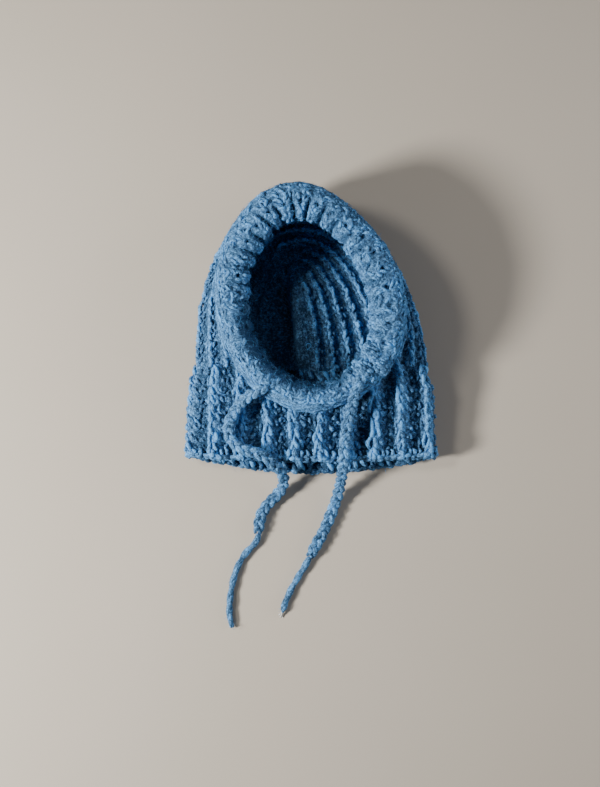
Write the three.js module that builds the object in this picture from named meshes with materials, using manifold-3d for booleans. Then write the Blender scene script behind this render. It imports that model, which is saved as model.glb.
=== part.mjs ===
// A crocheted balaclava of thick blue wool, lying on its back with the face opening up.
// Lengths are in millimetres. X runs across the neck, Y from the neck's hem to the crown, Z is up.
// The origin is the middle of the crocheted body's underside, on the surface that it lies on.

import * as THREE from "three";
import { mergeVertices } from "three/addons/utils/BufferGeometryUtils.js";
import Module from "manifold-3d";

// The fabric: its thickness, and the gap between two pieces that are crocheted together.
const WALL = 8;
const GAP = 0.4;

// Ribs: how many there are, and how far a ridge stands above the middle of the wave.
const NECK_RIBS = { count: 19, height: 3, shift: -0.26 };
const HOOD_RIBS = { count: 12, height: 2, shift: 0 };
const BAND_RIBS = { count: 30, height: 0.08, shift: 0 };

// Where the samples across one rib lie, in shares of its width: two on the ridge, two in the valley.
const RIB_PHASES = [-0.14, 0.14, 0.36, 0.64];
const BAND_PHASES = [-0.3, 0, 0.3];

// The neck is a flattened tube. Each row is a section across it, measured at the wall's middle.
const NECK_SECTIONS = [
  { y: -8, middleX: 2.5, halfWidth: 140, backZ: 6.8, frontZ: 35 },
  { y: 45, middleX: 2.5, halfWidth: 139, backZ: 6.8, frontZ: 42 },
  { y: 85, middleX: 2, halfWidth: 136, backZ: 6.8, frontZ: 51 },
  { y: 111, middleX: 1, halfWidth: 129, backZ: 6.8, frontZ: 58 },
];
const SECTION_SQUARENESS = 2.8;
const NECK_LINE = 111;
const NECK_STEPS = 6;

// The hem's y at the middle of the back layer, the middle of the front layer and the side folds.
const HEM = { back: -7, front: 5, side: 10 };
// The front layer's top edge dips under the face band's chin.
const CHIN = { x: -3, y: 78, halfWidth: 70 };

// The hood's ribs are arches from one side of the neck over the crown to the other side.
// Each row is the top of one arch, from the face edge (across = 0) to the back seam (across = 1).
const CROWN_LINE = [
  { across: 0.0, x: -12, y: 290, z: 92 },
  { across: 0.1, x: -11, y: 303, z: 84 },
  { across: 0.2, x: -9, y: 309, z: 66 },
  { across: 0.3, x: -9, y: 308, z: 46 },
  { across: 0.4, x: -9, y: 301, z: 25 },
  { across: 0.5, x: -9, y: 288, z: 10 },
  { across: 0.6, x: -9, y: 272, z: 6 },
  { across: 0.8, x: -9, y: 239, z: 5.8 },
  { across: 1.0, x: -9, y: 205, z: 5.8 },
];
const HOOD_INSET = 2.5;
// How square the arches are: the left half of the crown is fuller than the right half.
const ARCH_SQUARENESS = { left: 2.16, right: 1.9 };
const HOOD_STEPS = 26;
// The face edge follows the band over this share of the wall.
const FACE_EDGE_SHARE = 0.3;
// Over the back seam the right half is pushed up into a soft fold inside the hood. Its edge runs
// from nearX beside the neck line to farX at farY; ceiling is where the hood's wall stays as it is.
const FOLD = { height: 19, rise: 5, width: 62, start: 113, end: 262, nearX: -13, farX: -27, farY: 205, ceiling: 46 };

// The face band is a rolled ring. Each row is one section of it, round the opening from the
// crown, first down the left side; halfWidth is across the roll and halfHeight is its thickness.
const BAND_SECTIONS = [
  { x: -12, y: 290, z: 96, halfWidth: 20, halfHeight: 17, tilt: 14 },
  { x: -48, y: 278, z: 96, halfWidth: 20, halfHeight: 17, tilt: 12 },
  { x: -76, y: 242, z: 93, halfWidth: 19.5, halfHeight: 17, tilt: 6 },
  { x: -87, y: 208, z: 89, halfWidth: 18, halfHeight: 17, tilt: 0 },
  { x: -87, y: 179, z: 84, halfWidth: 19, halfHeight: 17, tilt: -8 },
  { x: -80, y: 148, z: 78, halfWidth: 20, halfHeight: 17, tilt: -16 },
  { x: -64, y: 117, z: 71, halfWidth: 21, halfHeight: 17, tilt: -22 },
  { x: -41, y: 94, z: 66, halfWidth: 21, halfHeight: 16, tilt: -24 },
  { x: -4, y: 79, z: 63, halfWidth: 20, halfHeight: 16, tilt: -24 },
  { x: 35, y: 86, z: 64, halfWidth: 17, halfHeight: 15, tilt: -18 },
  { x: 64, y: 106, z: 72, halfWidth: 17, halfHeight: 17, tilt: -8 },
  { x: 82, y: 138, z: 80, halfWidth: 18, halfHeight: 18, tilt: 0 },
  { x: 84, y: 177, z: 86, halfWidth: 20, halfHeight: 17, tilt: 4 },
  { x: 71.5, y: 218, z: 91, halfWidth: 19.5, halfHeight: 17, tilt: 8 },
  { x: 46.5, y: 254, z: 95, halfWidth: 17.5, halfHeight: 17, tilt: 12 },
  { x: 19, y: 278.5, z: 96, halfWidth: 17, halfHeight: 17, tilt: 14 },
];
const BAND_SIDES = 10;
const BAND_SQUARENESS = 2.2;

// The drawstring's two ends: a crocheted cord that leaves the band, and the plain yarn it ends in.
const CORD = { radius: 6.2, sides: 10 };
const YARN = { radius: 3.8, sides: 8 };
// A cord has a ring of points for every so many radii of its length.
const CORD_STEP = 2.2;

// Routes from the band outward, as [x, y, z] of the cord's middle.
const LEFT_CORD_ROUTE = [
  [-38, 94, 75],
  [-47.5, 87, 81.9],
  [-58.5, 80.8, 83.1],
  [-70, 74.5, 76.6],
  [-81, 65.8, 65.5],
  [-89, 54.5, 58.3],
  [-93, 42.5, 55.3],
  [-91.8, 31, 54.2],
  [-84.5, 21.8, 53.2],
  [-73.5, 16.5, 52.5],
  [-61.5, 13, 52.6],
  [-50, 7.8, 51.4],
  [-40.3, -0.3, 45],
  [-33.5, -8.5, 34.5],
  [-31.3, -17, 23.5],
  [-33.8, -26, 14],
  [-40.5, -34.5, 8.3],
  [-49.5, -43.5, 6.7],
  [-56.7, -54.5, 6.7],
  [-60, -66, 6.7],
  [-61, -77.7, 6.7],
];
const LEFT_TAIL_ROUTE = [
  [-61.05, -78.2, 6.3],
  [-61.5, -82.2, 6.1],
  [-65.4, -89.6, 4.8],
  [-76.3, -101.2, 4.1],
  [-85.7, -118, 4.1],
  [-91.1, -137, 4.1],
  [-93.7, -156, 4.1],
  [-93.6, -172, 4.1],
  [-90.8, -184.7, 4.1],
];
const RIGHT_CORD_ROUTE = [
  [61, 113, 80.2],
  [57, 101, 86.2],
  [51.8, 88, 86.3],
  [47.3, 74, 78.6],
  [43.5, 59.5, 68.3],
  [40, 42, 59.8],
  [37.7, 24, 55],
  [36.5, 8, 52.4],
  [35.4, -5, 43.6],
  [34.1, -16.5, 29.5],
  [31.8, -29, 15.5],
  [27.5, -44, 8.1],
  [21, -60.5, 6.7],
  [13.3, -77.7, 6.7],
  [4.6, -93, 6.7],
  [-1.2, -104.5, 6.7],
];
const RIGHT_TAIL_ROUTE = [
  [-1.45, -104.95, 6.3],
  [-3.1, -108, 5.9],
  [-7, -115.1, 4.7],
  [-13.7, -125.6, 4.1],
  [-22.4, -140.8, 4.1],
  [-28.7, -154.1, 4.1],
  [-33.2, -167.5, 4.1],
];

const wasm = await Module();
wasm.setup();

// A smooth curve through a table's named column, at place from 0 to the number of rows.
function smooth(rows, column, place, closed) {
  const last = rows.length - 1;
  const at = (i) =>
    rows[closed ? (i + rows.length) % rows.length : Math.min(Math.max(i, 0), last)][column];
  const i = Math.min(Math.floor(place), closed ? last : last - 1);
  const f = place - i;
  const [a, b, c, d] = [at(i - 1), at(i), at(i + 1), at(i + 2)];
  const bend = 2 * a - 5 * b + 4 * c - d;
  return 0.5 * (2 * b + (c - a) * f + bend * f * f + (3 * b - a - 3 * c + d) * f * f * f);
}

// The place in a table whose key column has the given value.
function placeOf(rows, key, value) {
  const last = rows.length - 1;
  let i = 0;
  while (i < last - 1 && rows[i + 1][key] <= value) i += 1;
  const share = (value - rows[i][key]) / (rows[i + 1][key] - rows[i][key]);
  return i + Math.min(Math.max(share, 0), 1);
}

// 0 below low, 1 above high and a smooth step between them.
function step(low, high, value) {
  return THREE.MathUtils.smoothstep(value, low, high);
}

// A rib's wave: 1 on the flat ridge at whole numbers, -1 in the flat valley between them.
function ribWave(ribs, turns) {
  const wave = 1.6 * Math.cos(2 * Math.PI * (turns - ribs.shift));
  return Math.min(Math.max(wave, -1), 1);
}

// The place of every sample across a fabric with this many ribs, as shares of its width.
function ribSamples(ribs) {
  const places = [];
  for (let rib = 0; rib < ribs.count; rib += 1)
    for (const phase of RIB_PHASES) places.push((rib + ribs.shift + phase) / ribs.count);
  return places;
}

// A superellipse's point at an angle, as a pair in units of its half axes.
function roundedUnit(angle, squareness) {
  const c = Math.cos(angle);
  const s = Math.sin(angle);
  return [
    Math.sign(c) * Math.abs(c) ** (2 / squareness),
    Math.sign(s) * Math.abs(s) ** (2 / squareness),
  ];
}

// The neck's section at height y: its wall's middle as a closed line, with lengths along it.
// It starts at the middle of the back layer and goes up the left side.
function neckSection(y) {
  const place = placeOf(NECK_SECTIONS, "y", y);
  const middleX = smooth(NECK_SECTIONS, "middleX", place, false);
  const halfWidth = smooth(NECK_SECTIONS, "halfWidth", place, false);
  const backZ = smooth(NECK_SECTIONS, "backZ", place, false);
  const frontZ = smooth(NECK_SECTIONS, "frontZ", place, false);
  const points = [];
  const lengths = [0];
  const count = 480;
  for (let i = 0; i <= count; i += 1) {
    const [c, s] = roundedUnit(-Math.PI / 2 - (2 * Math.PI * i) / count, SECTION_SQUARENESS);
    const z = (backZ + frontZ) / 2 + ((frontZ - backZ) / 2) * s;
    points.push({ x: middleX + halfWidth * c, z, side: c, front: (s + 1) / 2 });
    if (i > 0) {
      const before = points[i - 1];
      lengths.push(lengths[i - 1] + Math.hypot(points[i].x - before.x, z - before.z));
    }
  }
  return { points, lengths };
}

// The point of a neck section at a share of its length, with its outward normal.
function aroundSection(section, share) {
  const { points, lengths } = section;
  const wanted = (share - Math.floor(share)) * lengths.at(-1);
  let i = 0;
  while (i < points.length - 2 && lengths[i + 1] < wanted) i += 1;
  const f = (wanted - lengths[i]) / (lengths[i + 1] - lengths[i]);
  const [a, b] = [points[i], points[i + 1]];
  const mix = (key) => a[key] + (b[key] - a[key]) * f;
  const long = Math.hypot(b.x - a.x, b.z - a.z);
  return {
    x: mix("x"),
    z: mix("z"),
    side: mix("side"),
    front: mix("front"),
    normal: new THREE.Vector3(-(b.z - a.z) / long, 0, (b.x - a.x) / long),
  };
}

// The y of the neck's hem and top edge at a share of the way round.
const hemSection = neckSection(0);
const topSection = neckSection(NECK_LINE);
function neckEdges(share) {
  const low = aroundSection(hemSection, share);
  const high = aroundSection(topSection, share);
  const middle = HEM.back + (HEM.front - HEM.back) * low.front;
  const hem = middle + (HEM.side - middle) * low.side ** 2;
  const fromChin = (high.x - CHIN.x) / CHIN.halfWidth;
  const chin = Math.min(CHIN.y + (NECK_LINE - CHIN.y) * fromChin ** 2, NECK_LINE);
  const top = high.front > 0.5 ? chin : NECK_LINE;
  return { hem, top: top - GAP / 2 };
}

// A closed mesh of a wall: two faces of the same grid of points, joined along the grid's edges.
// wall(i, j) gives [outer, inner] points. A closed grid joins its last row to its first.
function wallGeometry(rows, columns, closed, wall) {
  const vertices = [];
  const faces = [];
  for (let i = 0; i < rows; i += 1)
    for (let j = 0; j < columns; j += 1) vertices.push(...wall(i, j));
  const outer = (i, j) => 2 * ((i % rows) * columns + j);
  const inner = (i, j) => outer(i, j) + 1;
  const quad = (a, b, c, d) => faces.push([a, b, c], [a, c, d]);
  for (let i = 0; i < (closed ? rows : rows - 1); i += 1) {
    for (let j = 0; j < columns - 1; j += 1) {
      quad(outer(i, j), outer(i + 1, j), outer(i + 1, j + 1), outer(i, j + 1));
      quad(inner(i, j), inner(i, j + 1), inner(i + 1, j + 1), inner(i + 1, j));
    }
    quad(outer(i, 0), inner(i, 0), inner(i + 1, 0), outer(i + 1, 0));
    const last = columns - 1;
    quad(outer(i, last), outer(i + 1, last), inner(i + 1, last), inner(i, last));
  }
  if (!closed) {
    const last = rows - 1;
    for (let j = 0; j < columns - 1; j += 1) {
      quad(outer(0, j), outer(0, j + 1), inner(0, j + 1), inner(0, j));
      quad(outer(last, j), inner(last, j), inner(last, j + 1), outer(last, j + 1));
    }
  }
  return fromVertices(vertices, faces);
}

// A geometry from points and triangles, with equal points welded and flat triangles left out.
function fromVertices(vertices, faces) {
  const geometry = new THREE.BufferGeometry();
  geometry.setAttribute(
    "position",
    new THREE.Float32BufferAttribute(vertices.flatMap((v) => [v.x, v.y, v.z]), 3),
  );
  geometry.setIndex(faces.flat());
  const welded = mergeVertices(geometry, 1e-3);
  const index = welded.index.array;
  const kept = [];
  for (let i = 0; i < index.length; i += 3) {
    const [a, b, c] = index.slice(i, i + 3);
    if (a !== b && b !== c && c !== a) kept.push(a, b, c);
  }
  welded.setIndex(kept);
  return welded;
}

// The two faces of the fabric at a point of its middle, lifted by its rib and kept off the floor.
function fabricFaces(middle, normal, lift) {
  const outer = middle.clone().addScaledVector(normal, WALL / 2 + lift);
  const inner = middle.clone().addScaledVector(normal, -WALL / 2 + lift);
  outer.z = Math.max(outer.z, 0);
  return [outer, inner];
}

// The neck: a ribbed tube, open at the hem and at the top.
function neckGeometry() {
  const samples = ribSamples(NECK_RIBS);
  return wallGeometry(samples.length, NECK_STEPS + 1, true, (i, j) => {
    const share = samples[i];
    const edges = neckEdges(share);
    const y = THREE.MathUtils.lerp(edges.hem, edges.top, j / NECK_STEPS);
    const at = aroundSection(neckSection(y), share);
    const lift = NECK_RIBS.height * ribWave(NECK_RIBS, share * NECK_RIBS.count);
    return fabricFaces(new THREE.Vector3(at.x, y, at.z), at.normal, lift);
  });
}

// The band's centre line, with the size and tilt of its roll, at equal lengths round the ring.
function bandLine(count) {
  const fine = 480;
  const columns = Object.keys(BAND_SECTIONS[0]);
  const rows = [];
  const lengths = [0];
  for (let i = 0; i <= fine; i += 1) {
    const place = ((i % fine) * BAND_SECTIONS.length) / fine;
    rows.push(
      Object.fromEntries(columns.map((c) => [c, smooth(BAND_SECTIONS, c, place, true)])),
    );
    if (i > 0) {
      const [a, b] = [rows[i - 1], rows[i]];
      lengths.push(lengths[i - 1] + Math.hypot(b.x - a.x, b.y - a.y, b.z - a.z));
    }
  }
  return (share) => {
    const wanted = (share - Math.floor(share)) * lengths.at(-1);
    let i = 0;
    while (i < fine - 1 && lengths[i + 1] < wanted) i += 1;
    const f = (wanted - lengths[i]) / (lengths[i + 1] - lengths[i]);
    const mixed = columns.map((c) => [c, rows[i][c] + (rows[i + 1][c] - rows[i][c]) * f]);
    const row = Object.fromEntries(mixed);
    row.centre = new THREE.Vector3(row.x, row.y, row.z);
    return row;
  };
}
const bandAt = bandLine();

// The band: a rolled ring with a lobe for each rib. extra makes it fatter, to cut its neighbours.
function bandGeometry(extra) {
  const samples = [];
  for (let rib = 0; rib < BAND_RIBS.count; rib += 1)
    for (const phase of BAND_PHASES) samples.push((rib + phase) / BAND_RIBS.count);
  const vertices = [];
  const faces = [];
  samples.forEach((share, i) => {
    const row = bandAt(share);
    const along = bandAt(share + 0.004).centre.sub(bandAt(share - 0.004).centre).normalize();
    const up = new THREE.Vector3(0, 0, 1).addScaledVector(along, -along.z).normalize();
    const out = new THREE.Vector3().crossVectors(up, along).normalize();
    const lean = THREE.MathUtils.degToRad(row.tilt);
    out.applyAxisAngle(along, lean);
    up.applyAxisAngle(along, lean);
    const fat = 1 + BAND_RIBS.height * ribWave(BAND_RIBS, share * BAND_RIBS.count);
    for (let k = 0; k < BAND_SIDES; k += 1) {
      const [c, s] = roundedUnit((2 * Math.PI * (k + 0.5)) / BAND_SIDES, BAND_SQUARENESS);
      const point = row.centre
        .clone()
        .addScaledVector(out, c * (row.halfWidth * fat + extra))
        .addScaledVector(up, s * (row.halfHeight * fat + extra));
      vertices.push(point);
      const [a, b] = [i * BAND_SIDES, ((i + 1) % samples.length) * BAND_SIDES];
      const next = (k + 1) % BAND_SIDES;
      faces.push([a + k, b + next, b + k], [a + k, a + next, b + next]);
    }
  });
  return fromVertices(vertices, faces);
}

// The band's share where it crosses the neck line on its left and right side.
function bandCrossing(from, to) {
  const count = 200;
  for (let i = 0; i < count; i += 1) {
    const share = from + ((to - from) * i) / count;
    if (bandAt(share).y <= NECK_LINE) return share;
  }
  return to;
}
const LEFT_CROSSING = bandCrossing(0, 0.5);
const RIGHT_CROSSING = bandCrossing(1, 0.5);

// The share of the neck's top section where the hood's face edge starts on the left side.
function faceEdgeShare() {
  const wanted = bandAt(LEFT_CROSSING).x;
  let share = 0.5;
  while (aroundSection(topSection, share).x > wanted) share -= 0.001;
  return share;
}
const FACE_EDGE = faceEdgeShare();

// The middle of the hood's wall: along goes from the left side of the neck to the right,
// and across goes from the face edge to the back seam.
function hoodMiddle(along, across) {
  const base = aroundSection(topSection, FACE_EDGE * (1 - across));
  const crown = placeOf(CROWN_LINE, "across", across);
  const top = new THREE.Vector3(
    smooth(CROWN_LINE, "x", crown, false),
    smooth(CROWN_LINE, "y", crown, false),
    smooth(CROWN_LINE, "z", crown, false),
  );
  const squareness = along < 0.5 ? ARCH_SQUARENESS.left : ARCH_SQUARENESS.right;
  const [c, s] = roundedUnit(Math.PI * (1 - along), squareness);
  const rim = NECK_SECTIONS.at(-1);
  const halfWidth = (rim.middleX - base.x) * (1 - HOOD_INSET / rim.halfWidth);
  const point = new THREE.Vector3(
    rim.middleX + halfWidth * c + (top.x - rim.middleX) * s,
    NECK_LINE + GAP / 2 + (top.y - NECK_LINE) * s,
    base.z + (top.z - base.z) * s,
  );
  const hold = (1 - step(0, FACE_EDGE_SHARE, across)) * step(0, 0.08, Math.min(along, 1 - along));
  if (hold > 0) {
    const share = LEFT_CROSSING * (1 - 2 * along);
    const right = (RIGHT_CROSSING - 1) * (2 * along - 1);
    const edge = bandAt(along < 0.5 ? share : right).centre;
    const straight = hoodFaceEdge(along);
    point.addScaledVector(edge.sub(straight), hold);
  }
  return point;
}

// The face edge's own arch, before it is drawn to the band.
function hoodFaceEdge(along) {
  const rim = NECK_SECTIONS.at(-1);
  const base = aroundSection(topSection, FACE_EDGE);
  const angle = Math.PI * (1 - along);
  const [c, s] = [Math.cos(angle), Math.sin(angle)];
  return new THREE.Vector3(
    rim.middleX + (rim.middleX - base.x) * c + (CROWN_LINE[0].x - rim.middleX) * s,
    NECK_LINE + (CROWN_LINE[0].y - NECK_LINE) * s,
    base.z + (CROWN_LINE[0].z - base.z) * s,
  );
}

// How far the hood's back is pushed up right of the fold's edge.
function foldLift(point) {
  const share = Math.min(Math.max((point.y - NECK_LINE) / (FOLD.farY - NECK_LINE), 0), 1);
  const fromEdge = point.x - (FOLD.nearX + (FOLD.farX - FOLD.nearX) * share);
  if (fromEdge <= 0) return 0;
  const near = step(FOLD.start, FOLD.start + 40, point.y);
  const far = 1 - step(FOLD.end - 60, FOLD.end, point.y);
  const low = 1 - step(FOLD.ceiling - 24, FOLD.ceiling, point.z);
  const flank = 1 - Math.exp(-fromEdge / FOLD.rise);
  return FOLD.height * flank * Math.exp(-((fromEdge / FOLD.width) ** 2)) * near * far * low;
}

// The hood: a ribbed bowl, open at the face and at the neck.
function hoodGeometry() {
  const samples = ribSamples(HOOD_RIBS).filter((across) => across > 0);
  const acrosses = [0, ...samples, 1];
  const nudge = 1e-3;
  return wallGeometry(HOOD_STEPS + 1, acrosses.length, false, (i, j) => {
    const along = i / HOOD_STEPS;
    const across = acrosses[j];
    const middle = hoodMiddle(along, across);
    const before = hoodMiddle(along, Math.max(across - nudge, 0));
    const after = hoodMiddle(along, Math.min(across + nudge, 1));
    const left = hoodMiddle(Math.max(along - nudge, 0), across);
    const right = hoodMiddle(Math.min(along + nudge, 1), across);
    const normal = right.sub(left).cross(after.sub(before)).normalize();
    if (across > 0.95) normal.set(0, 0, -1);
    if (i === 0 || i === HOOD_STEPS) normal.setY(0).normalize();
    const lift = HOOD_RIBS.height * ribWave(HOOD_RIBS, across * HOOD_RIBS.count);
    const [outer, inner] = fabricFaces(middle, normal, lift);
    const lifted = foldLift(middle);
    inner.z += lifted;
    outer.z += lifted;
    return [outer, inner];
  });
}

// A cord: a round tube along a smooth line through its route's points, closed at both ends.
// extra makes it fatter and longer at its start, to cut its socket.
function cordGeometry(route, cord, extra) {
  const points = route.map(([x, y, z]) => new THREE.Vector3(x, y, z));
  const start = points[0].clone().sub(points[1]).normalize();
  points[0].addScaledVector(start, extra);
  const path = new THREE.CatmullRomCurve3(points, false, "centripetal");
  const outline = [];
  for (let k = 0; k < cord.sides; k += 1) {
    const angle = (2 * Math.PI * k) / cord.sides;
    const radius = cord.radius + extra;
    outline.push(new THREE.Vector2(radius * Math.cos(angle), radius * Math.sin(angle)));
  }
  const steps = Math.round(path.getLength() / (cord.radius * CORD_STEP));
  const options = { steps, bevelEnabled: false, extrudePath: path };
  const geometry = new THREE.ExtrudeGeometry(new THREE.Shape(outline), options);
  geometry.deleteAttribute("normal");
  geometry.deleteAttribute("uv");
  return mergeVertices(geometry, 1e-3);
}

// A geometry as a solid that can be cut, and back again.
function solidOf(geometry) {
  const vertProperties = geometry.attributes.position.array;
  const triVerts = new Uint32Array(geometry.index.array);
  return new wasm.Manifold(new wasm.Mesh({ numProp: 3, vertProperties, triVerts }));
}
function geometryOf(solid) {
  const mesh = solid.getMesh();
  const geometry = new THREE.BufferGeometry();
  geometry.setAttribute("position", new THREE.BufferAttribute(mesh.vertProperties, 3));
  geometry.setIndex(new THREE.BufferAttribute(mesh.triVerts, 1));
  return mergeVertices(geometry, 1e-3);
}

// The largest piece that is left of a geometry when the cutters are taken away from it.
function cut(geometry, cutters) {
  const left = cutters.reduce((solid, cutter) => solid.subtract(solidOf(cutter)), solidOf(geometry));
  const pieces = left.decompose().sort((a, b) => b.volume() - a.volume());
  return geometryOf(pieces[0]);
}

const fatBand = bandGeometry(GAP);
const sockets = [
  cordGeometry(LEFT_CORD_ROUTE, CORD, GAP),
  cordGeometry(RIGHT_CORD_ROUTE, CORD, GAP),
];
const parts = [
  { name: "hood", colour: 0x5f7f9c, geometry: cut(hoodGeometry(), [fatBand]) },
  { name: "neck", colour: 0x58789a, geometry: cut(neckGeometry(), [fatBand]) },
  { name: "face_band", colour: 0x6b8cab, geometry: cut(bandGeometry(0), sockets) },
  { name: "drawstring_left", colour: 0x7796b3, geometry: cordGeometry(LEFT_CORD_ROUTE, CORD, 0) },
  { name: "drawstring_right", colour: 0x7796b3, geometry: cordGeometry(RIGHT_CORD_ROUTE, CORD, 0) },
  { name: "tail_left", colour: 0x87a3bd, geometry: cordGeometry(LEFT_TAIL_ROUTE, YARN, 0) },
  { name: "tail_right", colour: 0x87a3bd, geometry: cordGeometry(RIGHT_TAIL_ROUTE, YARN, 0) },
];

// The crocheted body's box sets the origin; the loose cords don't count.
const box = new THREE.Box3();
for (const { geometry } of parts.slice(0, 3)) {
  geometry.computeBoundingBox();
  box.union(geometry.boundingBox);
}
const balaclava = new THREE.Group();
balaclava.name = "balaclava";
for (const { name, colour, geometry } of parts) {
  geometry.translate(-(box.min.x + box.max.x) / 2, -(box.min.y + box.max.y) / 2, -box.min.z);
  const wool = new THREE.MeshStandardMaterial({ color: colour, roughness: 0.95, metalness: 0 });
  const mesh = new THREE.Mesh(geometry, wool);
  mesh.name = name;
  balaclava.add(mesh);
}

export default balaclava;
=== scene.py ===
"""Crocheted balaclava of thick heathered blue wool, lying on its back with the face opening up.

Lengths in the tables are millimetres in the maker's own frame: X across the neck, Y from the hem
to the crown, Z up from the surface that it lies on. Meshes are built in metres in the row's frame.
"""

import itertools
import logging
import math
from collections.abc import Callable
from dataclasses import dataclass, replace
from enum import Enum

import bpy
import numpy as np
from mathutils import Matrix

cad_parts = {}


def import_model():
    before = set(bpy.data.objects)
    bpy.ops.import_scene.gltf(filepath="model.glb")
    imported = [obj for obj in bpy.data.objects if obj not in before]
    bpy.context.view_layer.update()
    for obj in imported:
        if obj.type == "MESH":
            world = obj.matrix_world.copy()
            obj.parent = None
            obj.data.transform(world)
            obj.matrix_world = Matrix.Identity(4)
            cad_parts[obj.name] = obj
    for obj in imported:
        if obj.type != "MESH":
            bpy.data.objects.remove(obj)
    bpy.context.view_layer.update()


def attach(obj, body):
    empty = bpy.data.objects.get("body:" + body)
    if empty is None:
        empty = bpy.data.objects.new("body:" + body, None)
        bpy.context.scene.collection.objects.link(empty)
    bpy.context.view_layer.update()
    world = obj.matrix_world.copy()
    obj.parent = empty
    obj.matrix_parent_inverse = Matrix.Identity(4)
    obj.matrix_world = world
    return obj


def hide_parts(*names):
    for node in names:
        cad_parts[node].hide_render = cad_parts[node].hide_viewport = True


log = logging.getLogger("balaclava")

Array = np.ndarray

MM = 0.001
# The row frame's origin in the maker's frame, in millimetres.
ORIGIN = np.array([0.0755, 154.303, 0.0])
# Wool presses flat on the floor, this far above it.
FLOOR_LIFT = 0.35
ROOT = "root"
# The random lumps' table, and the primes that scatter its cells.
GRAIN_CELLS = 4096
GRAIN_PRIMES = np.array([73856093, 19349663, 83492791])
# How far a place stays inside a grid's last line, in cells.
GRID_MARGIN = 1.001
# A tube's rounded end, as a share of its radius.
TIP_SHARE = 0.6
# The yarn's map in millimetres: how far once round counts, and how far strands start apart.
YARN_GIRTH = 18.0
MAP_SPREAD = 400.0
# How uneven a maker's hand is: each knot's looseness and the looseness across the ribs, as shares
# of the stitch's, then how far a stitch and a knot stray up or down and how the yarn's girth varies.
KNOT_SHARE = 0.6
ACROSS_SHARE = 0.5
STITCH_LIFT = 0.35
KNOT_LIFT = 0.25
GIRTH_RANGE = (0.88, 1.12)


# Small helpers.


def srgb(colour: str) -> tuple[float, float, float, float]:
    """Turns an sRGB hex colour to linear red, green, blue and alpha.

    Args:
        colour: the colour as "#rrggbb".

    Returns:
        The linear colour with an alpha of 1.
    """
    channels = [int(colour[i : i + 2], 16) / 255 for i in (1, 3, 5)]
    linear = [c / 12.92 if c <= 0.04045 else ((c + 0.055) / 1.055) ** 2.4 for c in channels]
    return (linear[0], linear[1], linear[2], 1.0)


def smooth(rows: Array, place: Array, closed: bool) -> Array:
    """Runs a smooth curve through a table's rows.

    Args:
        rows: the table, one row for each key point.
        place: where to read it, from 0 to the number of rows.
        closed: whether the last row is followed by the first.

    Returns:
        One row of values for each place.
    """
    last = len(rows) - 1
    top = last if closed else last - 1
    i = np.minimum(np.floor(place).astype(int), top)
    f = (place - i)[..., None]
    places = [i - 1, i, i + 1, i + 2]
    a, b, c, d = (rows[np.mod(k, len(rows)) if closed else np.clip(k, 0, last)] for k in places)
    bend = 2 * a - 5 * b + 4 * c - d
    return 0.5 * (2 * b + (c - a) * f + bend * f**2 + (3 * b - a - 3 * c + d) * f**3)


def place_of(keys: Array, value: Array) -> Array:
    """Gives the place in a table whose key column has each value.

    Args:
        keys: the key column, rising.
        value: the values to look up.

    Returns:
        Places from 0 to the last row.
    """
    return np.interp(value, keys, np.arange(len(keys)))


def ramp(low: Array | float, high: Array | float, value: Array) -> Array:
    """Gives 0 below low, 1 above high and a smooth step between them."""
    t = np.clip((value - low) / (high - low), 0, 1)
    return t * t * (3 - 2 * t)


def stretch(span: tuple[float, float, float, float], value: Array) -> Array:
    """Gives 1 on a stretch, with a smooth step to 0 before it and after it.

    Args:
        span: where the first step starts and ends, and where the second does.
        value: the places.

    Returns:
        0 to 1 at each place.
    """
    return ramp(span[0], span[1], value) * (1 - ramp(span[2], span[3], value))


def unit(v: Array) -> Array:
    """Gives vectors of length one along the last axis."""
    return v / np.maximum(np.linalg.norm(v, axis=-1, keepdims=True), 1e-9)


def rounded_unit(angle: Array, squareness: Array | float) -> tuple[Array, Array]:
    """Gives a point of a superellipse.

    Args:
        angle: the point's angle.
        squareness: 2 for an ellipse, and more for a squarer shape.

    Returns:
        The point's two coordinates, in half axes.
    """
    c, s = np.cos(angle), np.sin(angle)
    power = 2 / squareness
    return np.sign(c) * np.abs(c) ** power, np.sign(s) * np.abs(s) ** power


def along_line(points: Array) -> Array:
    """Gives the length along a line at each of its points."""
    steps = np.linalg.norm(np.diff(points, axis=0), axis=1)
    return np.concatenate([[0.0], np.cumsum(steps)])


def deselect_all() -> None:
    """Leaves nothing selected, so that the next operator acts on one piece only."""
    bpy.ops.object.select_all(action="DESELECT")


def grain(points: Array, size: float, seed: int) -> Array:
    """Gives soft random lumps.

    Args:
        points: places in millimetres.
        size: how far apart the lumps are, in millimetres.
        seed: which pattern of lumps.

    Returns:
        A height from -1 to 1 at each point.
    """
    table = np.random.default_rng(seed).uniform(-1, 1, GRAIN_CELLS)
    cell = points / size
    low = np.floor(cell).astype(np.int64)
    f = cell - low
    f = f * f * (3 - 2 * f)
    total = np.zeros(points.shape[:-1])
    for corner in itertools.product((0, 1), repeat=3):
        index = np.bitwise_xor.reduce((low + np.array(corner)) * GRAIN_PRIMES, axis=-1)
        share = np.prod(np.where(np.array(corner) == 1, f, 1 - f), axis=-1)
        total += table[index % GRAIN_CELLS] * share
    return total


def row_metres(points: Array) -> Array:
    """Turns millimetres in the maker's frame to metres in the row's frame."""
    return (points - ORIGIN) * MM


def set_attribute(mesh: bpy.types.Mesh, name: str, values: Array) -> None:
    """Gives each point of a mesh a number that its material reads."""
    layer = mesh.attributes.new(name, "FLOAT", "POINT")
    layer.data.foreach_set("value", values.astype(np.float32).ravel())


# The fabric's surfaces.


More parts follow.
